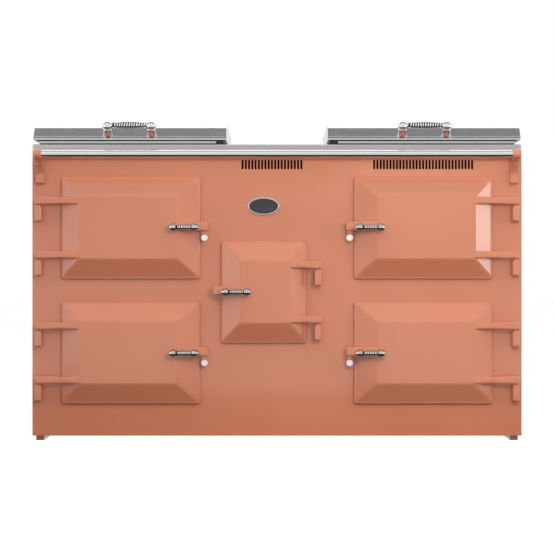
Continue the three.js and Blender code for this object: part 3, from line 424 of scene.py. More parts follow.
# %% Enamel
def make_enamel(name, light, dark, gloss=(0.13, 0.2)):
    material, tree, shader = material_with(name, IOR=1.5, Coat_Weight=0.5, Coat_Roughness=0.07)
    feed(shader, Base_Color=ramp(tree, noise(tree, 2.2, 4.0), (0.3, dark), (0.7, light)),
         Roughness=between(tree, noise(tree, 9.0), *gloss),
         Normal=bump(tree, noise(tree, 70.0, 2.0), 0.12, 0.0006))
    return material


ENAMEL_LIGHT = from_screen(212, 132, 98)
ENAMEL_DARK = from_screen(207, 127, 93)
terracotta_enamel = make_enamel("terracotta_enamel", ENAMEL_LIGHT, ENAMEL_DARK)
# A darker copy of the terracotta enamel for the runners: painted shade for their place low down by the floor.
runner_paint = make_enamel("runner_paint", from_screen(150, 88, 70), from_screen(120, 66, 52), (0.35, 0.5))
print("enamel", [round(v, 3) for v in ENAMEL_LIGHT])


# %% [markdown]
# Polished steel keeps fine lines in the direction it was rubbed. Noise squeezed hard in
# two directions makes those lines: they vary the roughness and lift the surface by
# a few micrometres, so that reflections smear along them. Chrome is plated and has
# no lines, only a faint waviness.

# %% Metals
def make_steel(name, light, dark, stretch, gloss=(0.16, 0.3)):
    material, tree, shader = material_with(name, Metallic=1.0, Anisotropic=0.35)
    lines = noise(tree, 1.0, 5.0, stretch, 0.65)
    feed(shader, Base_Color=ramp(tree, lines, (0.25, dark), (0.75, light)),
         Roughness=between(tree, lines, *gloss), Normal=bump(tree, lines, 0.05, 0.0002))
    return material


def make_chrome(name, tone, gloss):
    material, tree, shader = material_with(name, Metallic=1.0, Base_Color=(*tone, 1))
    feed(shader, Roughness=between(tree, noise(tree, 40.0), *gloss),
         Normal=bump(tree, noise(tree, 120.0, 2.0), 0.04, 0.0002))
    return material


def make_iron(name, light, dark, gloss):
    material, tree, shader = material_with(name, Metallic=0.2)
    skin_noise = noise(tree, 160.0, 6.0)
    feed(shader, Base_Color=ramp(tree, skin_noise, (0.3, dark), (0.7, light)),
         Roughness=between(tree, noise(tree, 14.0), *gloss), Normal=bump(tree, skin_noise, 0.35, 0.0006))
    return material


ALONG_X = (6, 900, 900)
polished_steel = make_steel("polished_steel", (0.66, 0.66, 0.67), (0.60, 0.60, 0.61), ALONG_X)
lining_steel = make_steel("lining_steel", (0.56, 0.56, 0.57), (0.50, 0.50, 0.51), ALONG_X, (0.28, 0.4))
fascia_steel = make_steel("fascia_steel", (0.62, 0.62, 0.63), (0.54, 0.54, 0.55), (700, 700, 6),
                          (0.25, 0.38))
zinc_sheet = make_steel("zinc_sheet", (0.48, 0.49, 0.50), (0.36, 0.37, 0.38), (9, 9, 9), (0.35, 0.55))
ground_iron = make_steel("ground_iron", (0.20,) * 3, (0.13,) * 3, (500, 8, 500), (0.28, 0.42))
# Near black steel for the rods inside the coils: painted shade, so the gaps between the turns of wire read
# dark.
core_shade_steel = make_steel("core_shade_steel", (0.07, 0.065, 0.06), (0.045, 0.042, 0.04), ALONG_X,
                             (0.3, 0.45))
chrome = make_chrome("chrome_plate", (0.82, 0.82, 0.83), (0.03, 0.07))
grip_chrome = make_chrome("grip_chrome", (0.58, 0.56, 0.54), (0.04, 0.09))
rail_steel = make_chrome("rail_steel", (0.78, 0.78, 0.78), (0.08, 0.14))
black_iron = make_iron("black_iron", (0.055, 0.053, 0.05), (0.03, 0.029, 0.028), (0.4, 0.6))

# %% [markdown]
# The inside of an oven is dark enamel with pale specks. A Voronoi texture gives a point in
# each cell, and a steep ramp on the distance to it leaves only small dots.

# %% Dark enamel, ceramic, plastic, wool and rubber
def make_speckled(name):
    material, tree, shader = material_with(name, IOR=1.5)
    place = add_node(tree, "TexCoord").outputs["Object"]
    cells = add_node(tree, "TexVoronoi", Scale=140.0, Vector=place).outputs["Distance"]
    feed(shader, Base_Color=ramp(tree, cells, (0.0, (0.45, 0.45, 0.47)), (0.16, (0.035, 0.037, 0.045))),
         Roughness=between(tree, noise(tree, 20.0), 0.22, 0.38))
    return material


def make_plain(name, light, dark, gloss, grain=30.0, lift=0.1, **sockets):
    material, tree, shader = material_with(name, **sockets)
    texture = noise(tree, grain, 4.0)
    feed(shader, Base_Color=ramp(tree, texture, (0.3, dark), (0.7, light)),
         Roughness=between(tree, texture, *gloss), Normal=bump(tree, texture, lift, 0.0005))
    return material


oven_enamel = make_speckled("oven_enamel")
white_ceramic = make_plain("white_ceramic", (0.94, 0.94, 0.93), (0.89, 0.89, 0.87), (0.14, 0.24), 60.0)
black_plastic = make_plain("black_plastic", (0.03,) * 3, (0.02,) * 3, (0.35, 0.5), 400.0)
seal_rope = make_plain("seal_rope", (0.07, 0.07, 0.068), (0.03,) * 3, (0.8, 0.95), 900.0, 0.6)
# Black rubber for the lid pads and the grommet. The same black also makes the painted shade strip under each
# lid.
black_rubber_and_shade = make_plain("black_rubber_and_shade", (0.02,) * 3, (0.012,) * 3, (0.6, 0.8), 300.0)
mineral_wool = make_plain("mineral_wool", (0.52, 0.47, 0.33), (0.34, 0.30, 0.20), (0.9, 1.0), 90.0, 0.9)
badge_field = make_plain("badge_field", (0.045, 0.045, 0.05), (0.03, 0.03, 0.034), (0.12, 0.2), 50.0)
shadow_black = make_plain("shadow_black", (0.006, 0.005, 0.005), (0.003,) * 3, (0.8, 0.95),
                          Specular_IOR_Level=0.04)
print(len(bpy.data.materials), "materials")

# %% [markdown]
# ## The doors' places
# Nearly everything on the front belongs to a door: its opening, hinges, stud and grip. So
# each door's main measures are read from the construction model once, and kept together.

# %% Measure the doors
BIG_OVERLAP = 0.032  # of a door over the edge of its opening
ARM_FROM_EDGE = 0.0735
BIG_ARM_OUT = 0.0795  # arm's end to the door's edge
SMALL_ARM_OUT = 0.0445
NOSE_OUT = 0.025
BIG_BEVELS = (0.058, 0.069)  # hinge side, handle side
SMALL_BEVELS = (0.052, 0.060)
STUD = {"radius": 0.0103, "shank": 0.007, "length": 0.030, "out": 0.0138, "drop": 0.0305}


class Door:
    """Where one door sits. Its side is -1 with the hinges on the left and 1 on the right."""

    def __init__(self, name):
        small = name == "control"
        self.name, self.body = name, f"door_{name}"
        self.side = -1 if name.endswith("_left") else 1
        self.bevels = SMALL_BEVELS if small else BIG_BEVELS
        x, _, self.z = box_range(self.body)
        arm = SMALL_ARM_OUT if small else BIG_ARM_OUT
        left, right = (arm, NOSE_OUT) if self.side < 0 else (NOSE_OUT, arm)
        self.x = (x[0] + left, x[1] - right)
        self.opening = grown(self.x, -BIG_OVERLAP), grown(self.z, -BIG_OVERLAP)
        self.middle = centre(self.z)
        self.arms = grown(self.z, -ARM_FROM_EDGE)
        self.hinge = centre(box_range(f"hinge_posts_{name}")[0])
        self.hinge_edge, self.handle_edge = self.x if self.side < 0 else self.x[::-1]
        self.stud = self.inward(self.handle_edge, STUD["out"]), self.middle - STUD["drop"]

    def inward(self, start, distance):
        """Steps from an x along the door, away from its hinges."""
        return start - self.side * distance


DOORS = [Door(name) for name in ("upper_left", "lower_left", "upper_right", "lower_right", "control")]
OVENS = DOORS[:4]
for door in DOORS:
    print(door.name, "door is", round(door.x[1] - door.x[0], 3), "m wide")

# %% [markdown]
# ## The front plate
# The real front is one heavy plate with five openings, two rows of vent slots and square
# holes for the hinge castings. A two-dimensional curve object is made for this job: the
# first outline is the plate, every outline inside it becomes a hole, and the bevel depth
# rounds the edges of plate and holes alike.

# %% Front plate with its openings
ENAMEL_EDGE = 0.0012
OPENING_CORNER = 0.006
NECK = 0.011
NECK_HOLE = NECK / 2 + 0.0005
NECK_DROP = 0.0395  # from the arm's middle down to the neck of its post
VENT = {"pitch": 0.010, "width": 0.006, "height": 0.029, "drop": 0.009}
VENT_GROUPS = [(19, -0.0155), (31, 0.4475)]  # number of slots, middle of the row
VENT_TOP = PLATE_HIGH.z - VENT["drop"]


def vent_outlines():
    half = VENT["width"] / 2
    for count, middle in VENT_GROUPS:
        for i in range(count):
            x = middle + (i - (count - 1) / 2) * VENT["pitch"]
            yield rounded_rectangle(around(x, half), (VENT_TOP - VENT["height"], VENT_TOP), half, 4)


holes = [rounded_rectangle(*door.opening, OPENING_CORNER) for door in DOORS]
holes += [rounded_rectangle(around(door.hinge, NECK_HOLE), around(arm - NECK_DROP, NECK_HOLE), 0.001, 2)
          for door in DOORS for arm in door.arms]
holes += vent_outlines()
outline = rounded_rectangle((PLATE_LOW.x, PLATE_HIGH.x), (PLATE_LOW.z, PLATE_HIGH.z), 0.002)
front_mesh = slab(outline, holes, (PLATE_LOW.y, PLATE_HIGH.y), "Y", ENAMEL_EDGE)
new_piece("front_plate_enamelled", front_mesh, "cooker", terracotta_enamel, ["front_plate"],
          weighted=False)
print("front plate has", len(holes), "holes and", len(front_mesh.polygons), "faces")

# %% [markdown]
# ## Doors
# Each door is one iron casting: a flat rim, four long bevels up to a raised field, two
# hinge arms and a latch nose. The bevels are lofted through rounded rectangles. The arms
# and nose are rounded bars joined on with an exact boolean, because a real casting has
# no seam there. Weighted normals then keep the broad faces flat and let only the small
# rounded edges catch the light.

# %% Sizes that all the doors share
RIM_BACK = PANEL - 0.0015
RIM_FRONT = RIM_BACK - 0.012
FIELD = RIM_FRONT - 0.028
RIM_FLAT = 0.0055
RIM_ROUND = 0.0045
DOOR_CORNER = 0.008
BEVEL_CORNER = 0.0075
END_BEVEL = 0.061
CREASE = 0.085  # share of the bevel over which it bends into the raised field
ROOTED = 0.004  # how far arms and nose run on past a bevel
ARM_HALF = 0.0125
ARM_FRONT = (FIELD + 0.0002, FIELD + 0.018)
ARM_WAIST = 0.0018
POST_HALF = 0.0105
NOSE = {"half": 0.0145, "rise": 0.004, "arch": 0.004}
NOSE_BACK = FIELD + 0.022


# %% Loft one casting
def door_rings(door):
    """Rounded rectangles from the back of the rim to the raised field."""
    bevels = door.bevels if door.side < 0 else door.bevels[::-1]

    def ring(y, left, right, ends, radius):
        width = (door.x[0] + left, door.x[1] - right)
        return placed(rounded_rectangle(width, grown(door.z, -ends), radius, 6), y)

    def even(y, inset, radius):
        return ring(y, inset, inset, inset, radius)

    def on_bevel(share, y):
        insets = [RIM_FLAT + (full - RIM_FLAT) * share for full in (*bevels, END_BEVEL)]
        return ring(y, *insets, BEVEL_CORNER)

    rings = [even(RIM_BACK, 0.001, DOOR_CORNER), even(RIM_BACK - 0.001, 0, DOOR_CORNER)]
    for inset, drop in quarter(RIM_ROUND, 6):
        rings.append(even(RIM_FRONT + drop, inset, DOOR_CORNER - inset * 0.3))
    rings.append(on_bevel(0, RIM_FRONT))
    rise = FIELD - RIM_FRONT
    for share in (0.012, 0.03, 0.3, 0.6):
        rings.append(on_bevel(share, RIM_FRONT + rise * (share - 0.004)))
    for u in [i / 6 for i in range(7)]:
        rings.append(on_bevel(1 - CREASE * (1 - 2 * u), FIELD - rise * CREASE * (1 - u) ** 2))
    return rings


def arm_mesh(door, height):
    """A hinge arm, from past its pin to the raised field, with a slight waist at the door's edge."""
    halves = ((door.inward(door.hinge, -POST_HALF), ARM_HALF), (door.inward(door.hinge, 0.02), ARM_HALF),
              (door.hinge_edge, ARM_HALF - ARM_WAIST),
              (door.inward(door.hinge_edge, door.bevels[0] + ROOTED), ARM_HALF))
    low, top = (eased([(x, height + way * half) for x, half in halves]) for way in (-1, 1))
    outline = low + top[::-1]
    return slab(outline if door.side < 0 else outline[::-1], [], ARM_FRONT, "Y", 0.006)


def nose_mesh(door):
    """The latch nose, with a shallow arch under it."""
    edge, arch = door.handle_edge, NOSE["arch"]
    x = in_order(door.inward(edge, -door.bevels[1] - ROOTED), door.inward(edge, NOSE_OUT))
    z = around(door.middle + NOSE["rise"], NOSE["half"])
    radius = (NOSE_OUT ** 2 / 4 + arch ** 2) / (2 * arch)
    start = (door.inward(edge, NOSE_OUT / 2), FIELD - 0.01, z[0] + arch - radius)
    cutter = turned([(0, 0), (radius, 0), (radius, 0.05), (0, 0.05)], start, (0, 1, 0), 96)
    return joined([bar(x, (FIELD + 0.0002, NOSE_BACK), z, 0.0055, 6), cutter], "DIFFERENCE")


def tongue(door):
    """The tongue that reaches from the nose down to the stud."""
    x, z = door.stud
    return bar(around(x, 0.0075), (FIELD + 0.010, NOSE_BACK - 0.0003),
               (z + STUD["radius"] + 0.0006, door.middle), 0.0015)


for door in DOORS:
    parts = [loft(door_rings(door)), *[arm_mesh(door, height) for height in door.arms], nose_mesh(door)]
    if door in OVENS:
        parts.append(tongue(door))
    casting = new_piece(f"cast_door_{door.name}", joined(parts), door.body, terracotta_enamel,
                        [f"door_{door.name}"])
    print(door.name, "casting has", len(casting.data.polygons), "faces")

# %% [markdown]
# Behind each oven door hangs an insulated plug in a pressed steel skin, with a rope seal
# round it. The seal is a flat ring that fills the gap between the door and the front plate.

# %% Insulated plugs and rope seals
def plug(door):
    x, y, z = box_range(f"door_liner_{door.name}")
    rings = stepped(x, z, [(0, y[1] - y[0]), *quarter(0.006, 4)], y[1], "Y", 0.006)
    rings += stepped(x, z, mm((40, 0), (44, 4), (60, 4)), y[1], "Y", 0.008)
    new_piece(f"door_plug_{door.name}", loft(rings), door.body, zinc_sheet,
              [f"door_liner_{door.name}"])


def seal(door):
    x, z = door.opening
    mesh = slab(shrunk(x, z, -0.016, 0.020, 6), [shrunk(x, z, -0.004, 0.010, 6)],
                (PANEL - 0.0014, PANEL - 0.0002), "Y", 0.0005)
    new_piece(f"rope_seal_{door.name}", mesh, door.body, seal_rope, weighted=False)


for door in DOORS:
    if door in OVENS:
        plug(door)
    seal(door)

# %% [markdown]
# The doors hang on pins. Each pin stands up from a small square post and into the arm
# above it, so a door can be lifted straight off. The two posts of a door share a bar
# behind the plate, and a square neck joins each post to it through the plate.

# %% Hinge posts, necks and pins
POST_HEIGHT = 0.046
POST_GAP = 0.004
PIN = 0.004
PIN_DEPTH = FIELD + POST_HALF
PIN_PROFILE = [(PIN, -0.002), (PIN, POST_GAP + 0.014), (PIN - 0.001, POST_GAP + 0.016)]
COLLAR = mm((4, 0), (7.2, 0), (7.6, 0.4), (7.6, 1.2), (7.2, 1.6), (4, 1.6))


def hinge_posts(door):
    x = door.hinge
    _, y, z = box_range(f"hinge_posts_{door.name}")
    shape = bmesh.new()
    for arm in door.arms:
        top = arm - ARM_HALF - POST_GAP
        outline = rounded_rectangle(around(x, POST_HALF), (FIELD, PANEL - 0.0003), 0.005, 6)
        shape.from_mesh(slab(outline, [], (top - POST_HEIGHT, top), "Z", 0.003))
        bar(around(x, NECK / 2), (PANEL - 0.002, PLATE_HIGH.y + 0.002), around(arm - NECK_DROP, NECK / 2),
            0.001, 2, shape)
        turned(PIN_PROFILE, (x, PIN_DEPTH, top), (0, 0, 1), 24, shape)
        turned(COLLAR, (x, PIN_DEPTH, top), (0, 0, 1), 32, shape)
    tie = (z[0] + 0.010, door.arms[1] - 0.030)
    bar(around(x, 0.008), (PLATE_HIGH.y + 0.0003, y[1]), tie, 0.0012, 2, shape)
    new_piece(f"hinge_castings_{door.name}", shape, "cooker", terracotta_enamel,
              [f"hinge_posts_{door.name}"])


for door in DOORS:
    hinge_posts(door)

# %% [markdown]
# A catch stud is a turned ceramic button on a shank. The tongue of the latch nose rests on
# it when the door is shut. The pale face has a shallow groove, cut into the turned profile.

# %% Catch studs
def stud_profile():
    radius, shank, length = STUD["radius"], STUD["shank"], STUD["length"]
    stem = [(0, 0.0004), (shank + 0.002, 0.0004), (shank + 0.002, 0.003), (shank, 0.0045),
            (shank, length - 0.0075), (radius, length - 0.007), (radius, length - 0.0018)]
    face = mm((0.5, 0.6), (1.8, 0), (2.8, 0), (3.2, 0.7), (3.8, 0.7), (4.2, 0))
    return [*stem, *[(radius - inset, length - drop) for inset, drop in face], (0, length)]


for door in OVENS:
    shape = turned(stud_profile(), (door.stud[0], PANEL, door.stud[1]), (0, -1, 0))
    new_piece(f"ceramic_stud_{door.name}", shape, "cooker", white_ceramic,
              [f"catch_stud_{door.name}"], weighted=False, smooth_angle=50)

# %% [markdown]
# ## Coil grips
# A wound steel grip stays cool to the touch. Its rod runs between two turned ferrules,
# and one unbroken wire winds round it. The wire is a helix that is swept with a round
# section, 24 steps to a turn so that it looks smooth close up.

# %% Coil grips on the doors
GRIP_ROD = 0.0066
GRIP_TURNS = 8
GRIP_COIL = 0.0083
GRIP_AXIS = FIELD - 0.027
INNER, COIL, OUTER = 0.022, 0.048, 0.024
FAR = INNER + COIL
INNER_FERRULE = mm((0, 0.2), (3.5, 0.7), (6.5, 2), (9.2, 4.5), (11.3, 8.5), (12.2, 12.5), (12.5, 16.5),
                   (12.5, 19.5), (12, 21), (10.8, 21.8), (9.5, 22), (0, 22))
OUTER_FERRULE = mm((0, 0), (9.5, 0), (11, 0.3), (12.1, 1.4), (12.5, 3), (12.5, 6), (11.9, 9.5), (10.4, 14),
                   (8.2, 18.5), (5.8, 21.5), (3, 23.4), (0, 23.8), shift=FAR)
STEM = mm((0, 2), (5.5, 2), (5.5, 21), (7.5, 24.5), (7.8, 26.5), (0, 26.5))


def helix(length, turns, wire, radius_at, steps=24):
    """Points of a coil wound along X from the origin, with a short straight lead at each end."""
    wound = length - 2 * wire
    points = [Vector((0, 0, radius_at(0)))]
    count = turns * steps
    for share in [i / count for i in range(count + 1)]:
        angle, radius = 2 * math.pi * turns * share, radius_at(share)
        points.append(Vector((wire + wound * share, radius * math.sin(angle), radius * math.cos(angle))))
    points.append(Vector((length, points[-1].y, points[-1].z)))
    return points


def wind(name, node, y, z, body, turns, lead, wire, radius_at):
    """Winds one wire along a coil of the construction model."""
    low, high = box_range(node)[0]
    path = [Vector((low, y, z)) + point for point in helix(high - low, turns, lead, radius_at)]
    new_piece(name, tube(path, wire, 12), body, chrome, [node], weighted=False, smooth_angle=60)


def grip(door):
    ends = box_range(f"grip_frame_{door.name}")[0]
    start = (ends[0] if door.side < 0 else ends[1], GRIP_AXIS, door.middle)
    out = (-door.side, 0, 0)
    shape = turned(INNER_FERRULE, start, out, 56)
    turned(OUTER_FERRULE, start, out, 56, shape)
    for along in (INNER * 0.5, FAR + OUTER * 0.4):
        turned(STEM, (door.inward(start[0], along), GRIP_AXIS, start[2]), (0, 1, 0), 32, shape)
    new_piece(f"chrome_grip_{door.name}", shape, door.body, grip_chrome,
              [f"grip_frame_{door.name}"], weighted=False, smooth_angle=45)
    # The rod is near black: painted shade between the turns of wire.
    rod = [(0, INNER - 0.001), (GRIP_ROD, INNER - 0.001), (GRIP_ROD, FAR + 0.001), (0, FAR + 0.001)]
    new_piece(f"grip_core_{door.name}", turned(rod, start, out, 40), door.body, core_shade_steel,
              weighted=False)
    wind(f"wound_wire_{door.name}", f"grip_coil_{door.name}", GRIP_AXIS, start[2], door.body, GRIP_TURNS,
         0.003, 0.0017, lambda share: GRIP_COIL)


for door in DOORS:
    grip(door)
print("grips built, each with", GRIP_TURNS, "turns of wire")

# %% [markdown]
# ## Towel rail
# A steel tube runs the whole width between two cast corbels. A corbel is a flat side view
# given some width, so its outline is drawn once, with curves worked out point by point,
# and then extruded with rounded edges.

# %% Rail and its brackets
SIDES = ("left", "right")
RAIL = {"radius": 0.012, "y": PANEL - 0.0632, "z": 0.8722}
BOSS = 0.015
FOOT = (0.784, 0.809)  # lower and upper end of a corbel's foot


def bracket_outline():
    """Side view of a corbel in y and z, starting at its lowest back corner."""
    rail_y, rail_z = RAIL["y"], RAIL["z"]
    back, under, past = PANEL - 0.0003, PLATE_HIGH.z - 0.001, PANEL - 0.005
    foot_front = back - 0.014
    points = [(back, FOOT[0]), (back, under), (past, under)]
    bends = [((past - 0.004, under), (centre((rail_y, PANEL)) - 0.006, rail_z + BOSS - 0.008)),
             ((rail_y + 0.008, rail_z + BOSS), (rail_y, rail_z + BOSS))]
    for control, end in bends:
        points += curve_through(points[-1], control, end)
    points += arc((rail_y, rail_z), BOSS, [90 + 7.5 * i for i in range(1, 19)])
    points += curve_through(points[-1], (foot_front - 0.006, rail_z - 0.024), (foot_front, FOOT[1]))
    points.append((foot_front, FOOT[0] + 0.008))
    points += curve_through(points[-1], (foot_front, FOOT[0]), (foot_front + 0.008, FOOT[0]), 6)
    return points[::-1]


for side in SIDES:
    x = box_range(f"rail_bracket_{side}")[0]
    new_piece(f"rail_corbel_{side}", slab(bracket_outline(), [], x, "X", 0.002), "cooker",
              terracotta_enamel, [f"rail_bracket_{side}"])

rail_x = box_range("towel_rail")[0]
rail_ends = (0.0002, rail_x[1] - rail_x[0] - 0.0002)
rail_profile = [(0, rail_ends[0]), *[(RAIL["radius"], end) for end in rail_ends], (0, rail_ends[1])]
rail = turned(rail_profile, (rail_x[0], RAIL["y"], RAIL["z"]), (1, 0, 0))
new_piece("steel_towel_rail", rail, "cooker", rail_steel, ["towel_rail"], weighted=False)

# %% [markdown]
# The oval plate carries no lettering here. It has a plated rim round a darker field, so
# it is two pieces: a rim lofted through ellipses, and a slightly domed field inside it.

# %% Oval plate
badge = box_range("badge_plate")


def ovals(*steps, count=64):
    """A loft through ellipses, each given by its inset and its depth in millimetres."""
    turns = [2 * math.pi * i / count for i in range(count)]
    (x, half_x), (z, half_z) = [(centre(pair), (pair[1] - pair[0]) / 2) for pair in badge[::2]]
    rings = []
    for inset, back in mm(*steps):
        oval = [(x + (half_x - inset) * math.cos(t), z + (half_z - inset) * math.sin(t)) for t in turns]
        rings.append(placed(oval, badge[1][0] + back))
    return loft(rings)


new_piece("oval_plate_rim",
          ovals((0, 4.9), (0, 2.2), (0.6, 0.8), (1.8, 0.1), (3.4, 0.3), (4.4, 1.4), (4.6, 2.6)),
          "cooker", chrome, ["badge_plate"], weighted=False)
new_piece("oval_plate_field",
          ovals((4.8, 2.8), (4.8, 1.8), (7.5, 1.4), (7.8, 1.1), (9, 1.1), (9.3, 1.4), (16, 1.2), (24.5, 1.1)),
          "cooker", badge_field, weighted=False)

# %% [markdown]
# ## Hob, hot plates and lids
# The hob is one pressed sheet with a folded lip, so it is lofted as a solid with a rounded
# top edge, and then hollowed and cut with the exact boolean. The cutting shapes are the
# inside of the pan and the two rounded holes for the hot plates.

# %% Hob with its folded lip
hob_x, hob_y, hob_z = box_range("hob_top")
HOB_EDGE = 0.0032
HOB_SHEET = 0.004


def hob_mesh():
    steps = [(0, hob_z[1] - hob_z[0]), *quarter(HOB_EDGE, 5)]
    inside = bar(grown(hob_x, -HOB_SHEET), grown(hob_y, -HOB_SHEET),
                 (hob_z[0] - 0.02, hob_z[1] - HOB_SHEET), 0.002)
    parts = [loft(stepped(hob_x, hob_y, steps, hob_z[1], "Z", 0.004)), inside]
    for side in SIDES:
        x, y, _ = box_range(f"hot_plate_{side}")
        outline = shrunk(x, y, -0.002, 0.026, 8)
        parts.append(loft([placed(outline, z, "Z") for z in (hob_z[0], hob_z[1] + 0.01)]))
    return joined(parts, "DIFFERENCE")


new_piece("polished_hob", hob_mesh(), "cooker", polished_steel, ["hob_top"])

# %% [markdown]
# A hot plate is a thick iron casting whose top is ground flat, so it keeps shallow
# parallel lines. A bright ring lies in the gap round it and hides the cut edge of the hob.

# %% Hot plates
HOT_PLATE_STEPS = mm((0, 2.2), (0.8, 0.9), (2.2, 0), (10, 0), (11.5, 0.8), (13.5, 0.8), (15, 0))

for side in SIDES:
    x, y, z = box_range(f"hot_plate_{side}")
    rings = stepped(x, y, [(0, z[1] - z[0]), *HOT_PLATE_STEPS], z[1], "Z", 0.024, -0.6, 8)
    new_piece(f"ground_hot_plate_{side}", loft(rings), "cooker", ground_iron,
              [f"hot_plate_{side}"])
    ring = slab(shrunk(x, y, -0.007, 0.031, 8), [shrunk(x, y, -0.0012, 0.0252, 8)],
                (hob_z[1], hob_z[1] + 0.0012), "Z", 0.0005)
    new_piece(f"hot_plate_ring_{side}", ring, "cooker", chrome, weighted=False)

# %% [markdown]
# A lid is a pressed shell: an upright rim, a face that leans back, a small facet and a
# flat top. Its side view is drawn with rounded corners and extruded along X, then hollowed
# from below. A steel pan closes the underside. Its skirt hangs a little below the rim. A black
# strip in front of the skirt is painted shade: it draws the dark shadow line under a closed lid.

# %% Lids
LID_FRONT, LID_BACK = PANEL + 0.002, PANEL + 0.502
LID_LOW, LID_TOP = 0.9195, 0.972
LID_RIM = 0.005
LEAN = (0.027, 0.0345)
FACET = 0.020
LID_PIN = (PANEL + 0.519, 0.9295)
LUG = 0.010  # radius of a lug's round end
LINING_STEPS = mm((0, -12), (0, -3.5), (0.6, -2.2), (1.8, -1.6), (9.2, -1.2), (10, 0.4), (10.4, 7.8),
                  (11.4, 9.6), (13.6, 10), (15.6, 9.6), (17.6, -1.6), (34, -1.6), (38, -3.6), (42, -5.6))
PAD = mm((0, 0), (9.5, 0), (11, 1.2), (11, 13.8), (10, 14.6), (0, 14.6))
PAD_PLACES = ((0.021, 0.014), (0.021, 0.44), (0.57, 0.17), (0.57, 0.44))  # inwards, back


def lid_outline(inset=0.0, bottom=LID_LOW):
    front, back, top = LID_FRONT + inset, LID_BACK - inset, LID_TOP - inset
    rim_top = LID_LOW + LID_RIM - inset * 0.4
    lean_y = front + LEAN[0]
    points = [(front + 0.0004, bottom), (back, bottom), (back, top), (lean_y + FACET, top),
              (lean_y, rim_top + LEAN[1] - inset * 0.4), (front, rim_top)]
    return rounded_outline(points, [0.0016, 0.0012, 0.005, 0.003, 0.0025, 0.0004])


def lug(x):
    """A round-ended lug, from the lid's back wall out to its hinge pin."""
    wall = LID_BACK - 0.0015
    outline = [(wall, LID_PIN[1] - LUG), *arc(LID_PIN, LUG, range(-90, 91, 15)), (wall, LID_PIN[1] + LUG)]
    return slab(outline, [arc(LID_PIN, 0.0055, range(0, 360, 20))], around(x, 0.007), "X")


def lug_places(side):
    return around(centre(box_range(f"lid_{side}")[0]), 0.180)


def lid(side):
    x, body = box_range(f"lid_{side}")[0], f"lid_{side}"
    shell = slab(lid_outline(), [], x, "X", 0.0016)
    hollow = slab(lid_outline(0.003, LID_LOW - 0.02), [], grown(x, -0.003), "X")
    shape = bmesh.new()
    shape.from_mesh(joined([shell, hollow], "DIFFERENCE", 35))
    for place in lug_places(side):
        shape.from_mesh(lug(place))
    new_piece(f"pressed_lid_{side}", shape, body, polished_steel, [body], smooth_angle=35)
    inside = grown(x, -0.0035), grown((LID_FRONT, LID_BACK), -0.0035)
    lining = loft(stepped(*inside, LINING_STEPS, LID_LOW, "Z", 0.004, 0.4, 6))
    new_piece(f"lid_lining_{side}", lining, body, lining_steel)
    # A black strip under the rim, in front of the skirt: painted shade for the dark line under a closed lid.
    strip = slab(shrunk(*inside, 0.0085, 0.006, 6), [shrunk(*inside, 0.0115, 0.006, 6)],
                 (LID_LOW - 0.0024, LID_LOW + 0.0010), "Z", 0.0005)
    new_piece(f"lid_shade_strip_{side}", strip, body, black_rubber_and_shade, weighted=False)


def lid_pads(side):
    """Small black feet that hold a closed lid off the hob."""
    x = box_range(f"lid_{side}")[0]
    inner, way = (x[1], -1) if side == "left" else (x[0], 1)
    shape = bmesh.new()
    for sideways, back in PAD_PLACES:
        turned(PAD, (inner + way * sideways, LID_FRONT + back, LID_LOW + 0.0016), (0, 0, -1), 32, shape)
    new_piece(f"lid_rest_pads_{side}", shape, f"lid_{side}", black_rubber_and_shade, weighted=False)


for side in SIDES:
    lid(side)
    lid_pads(side)

# %% [markdown]
# Each lid turns on one long pin at its back. Four ears on a base plate carry the pin, one
# on each side of each lug, and screws hold the plate down.

# %% Lid hinges
SCREW = ((1, 0), (1, 0.5), (0.85, 0.85), (0.6, 1), (0.42, 1), (0.38, 0.35), (0, 0.35))
EAR = (0.008, 0.016)  # an ear's two faces, from the middle of its lug
SCREW_OUT = 0.028


def screw_head(place, direction, radius, shape):
    """A domed screw head with a socket in it."""
    profile = [(radius * wide, radius * 0.45 * high) for wide, high in SCREW]
    turned(profile, place, direction, 20, shape)


def lid_hinge(side):
    x, y, z = box_range(f"lid_hinge_{side}")
    base_top, length = z[0] + 0.004, x[1] - x[0]
    shape = bar(x, y, (z[0], base_top), 0.0012, 2)
    half_pin = [(0.0042, 0), (0.005, 0.0008)]
    pin = [(0, 0), *half_pin, *[(radius, length - along) for radius, along in half_pin[::-1]], (0, length)]
    turned(pin, (x[0], *LID_PIN), (1, 0, 0), 32, shape)
    low, high = z[0] + 0.003, LID_PIN[1] + 0.008
    ear = rounded_outline([(y[0], low), (y[1], low), (y[1], high), (y[0], high)],
                          [0.001, 0.001, 0.006, 0.006])
    for place in lug_places(side):
        for end in (-1, 1):
            shape.from_mesh(slab(ear, [], in_order(place + end * EAR[0], place + end * EAR[1]), "X"))
        for screw in around(place, SCREW_OUT):
            if x[0] + 0.006 < screw < x[1] - 0.006:
                screw_head((screw, LID_PIN[0], base_top), (0, 0, 1), 0.0042, shape)
    new_piece(f"hinge_bracket_{side}", shape, "cooker", zinc_sheet, [f"lid_hinge_{side}"])


for side in SIDES:
    lid_hinge(side)

# %% [markdown]
# The lid handles repeat the grip's idea at a larger size. The coil swells in the middle,
# which is only a matter of letting the helix's radius follow half a sine wave.

# %% Barrel coil handles on the lids
LEAN_LENGTH = math.hypot(*LEAN)
LEAN_OUT = Vector((0, -LEAN[1], LEAN[0])) / LEAN_LENGTH
LEAN_UP = Vector((0, LEAN[0], LEAN[1])) / LEAN_LENGTH
HANDLE_STANDOFF = 0.040
HANDLE_AXIS = Vector((0, LID_FRONT, LID_LOW + LID_RIM)) + LEAN_UP * 0.018 + LEAN_OUT * HANDLE_STANDOFF
POST_OUT = 0.067
BARREL = 0.105
BARREL_TURNS = 13
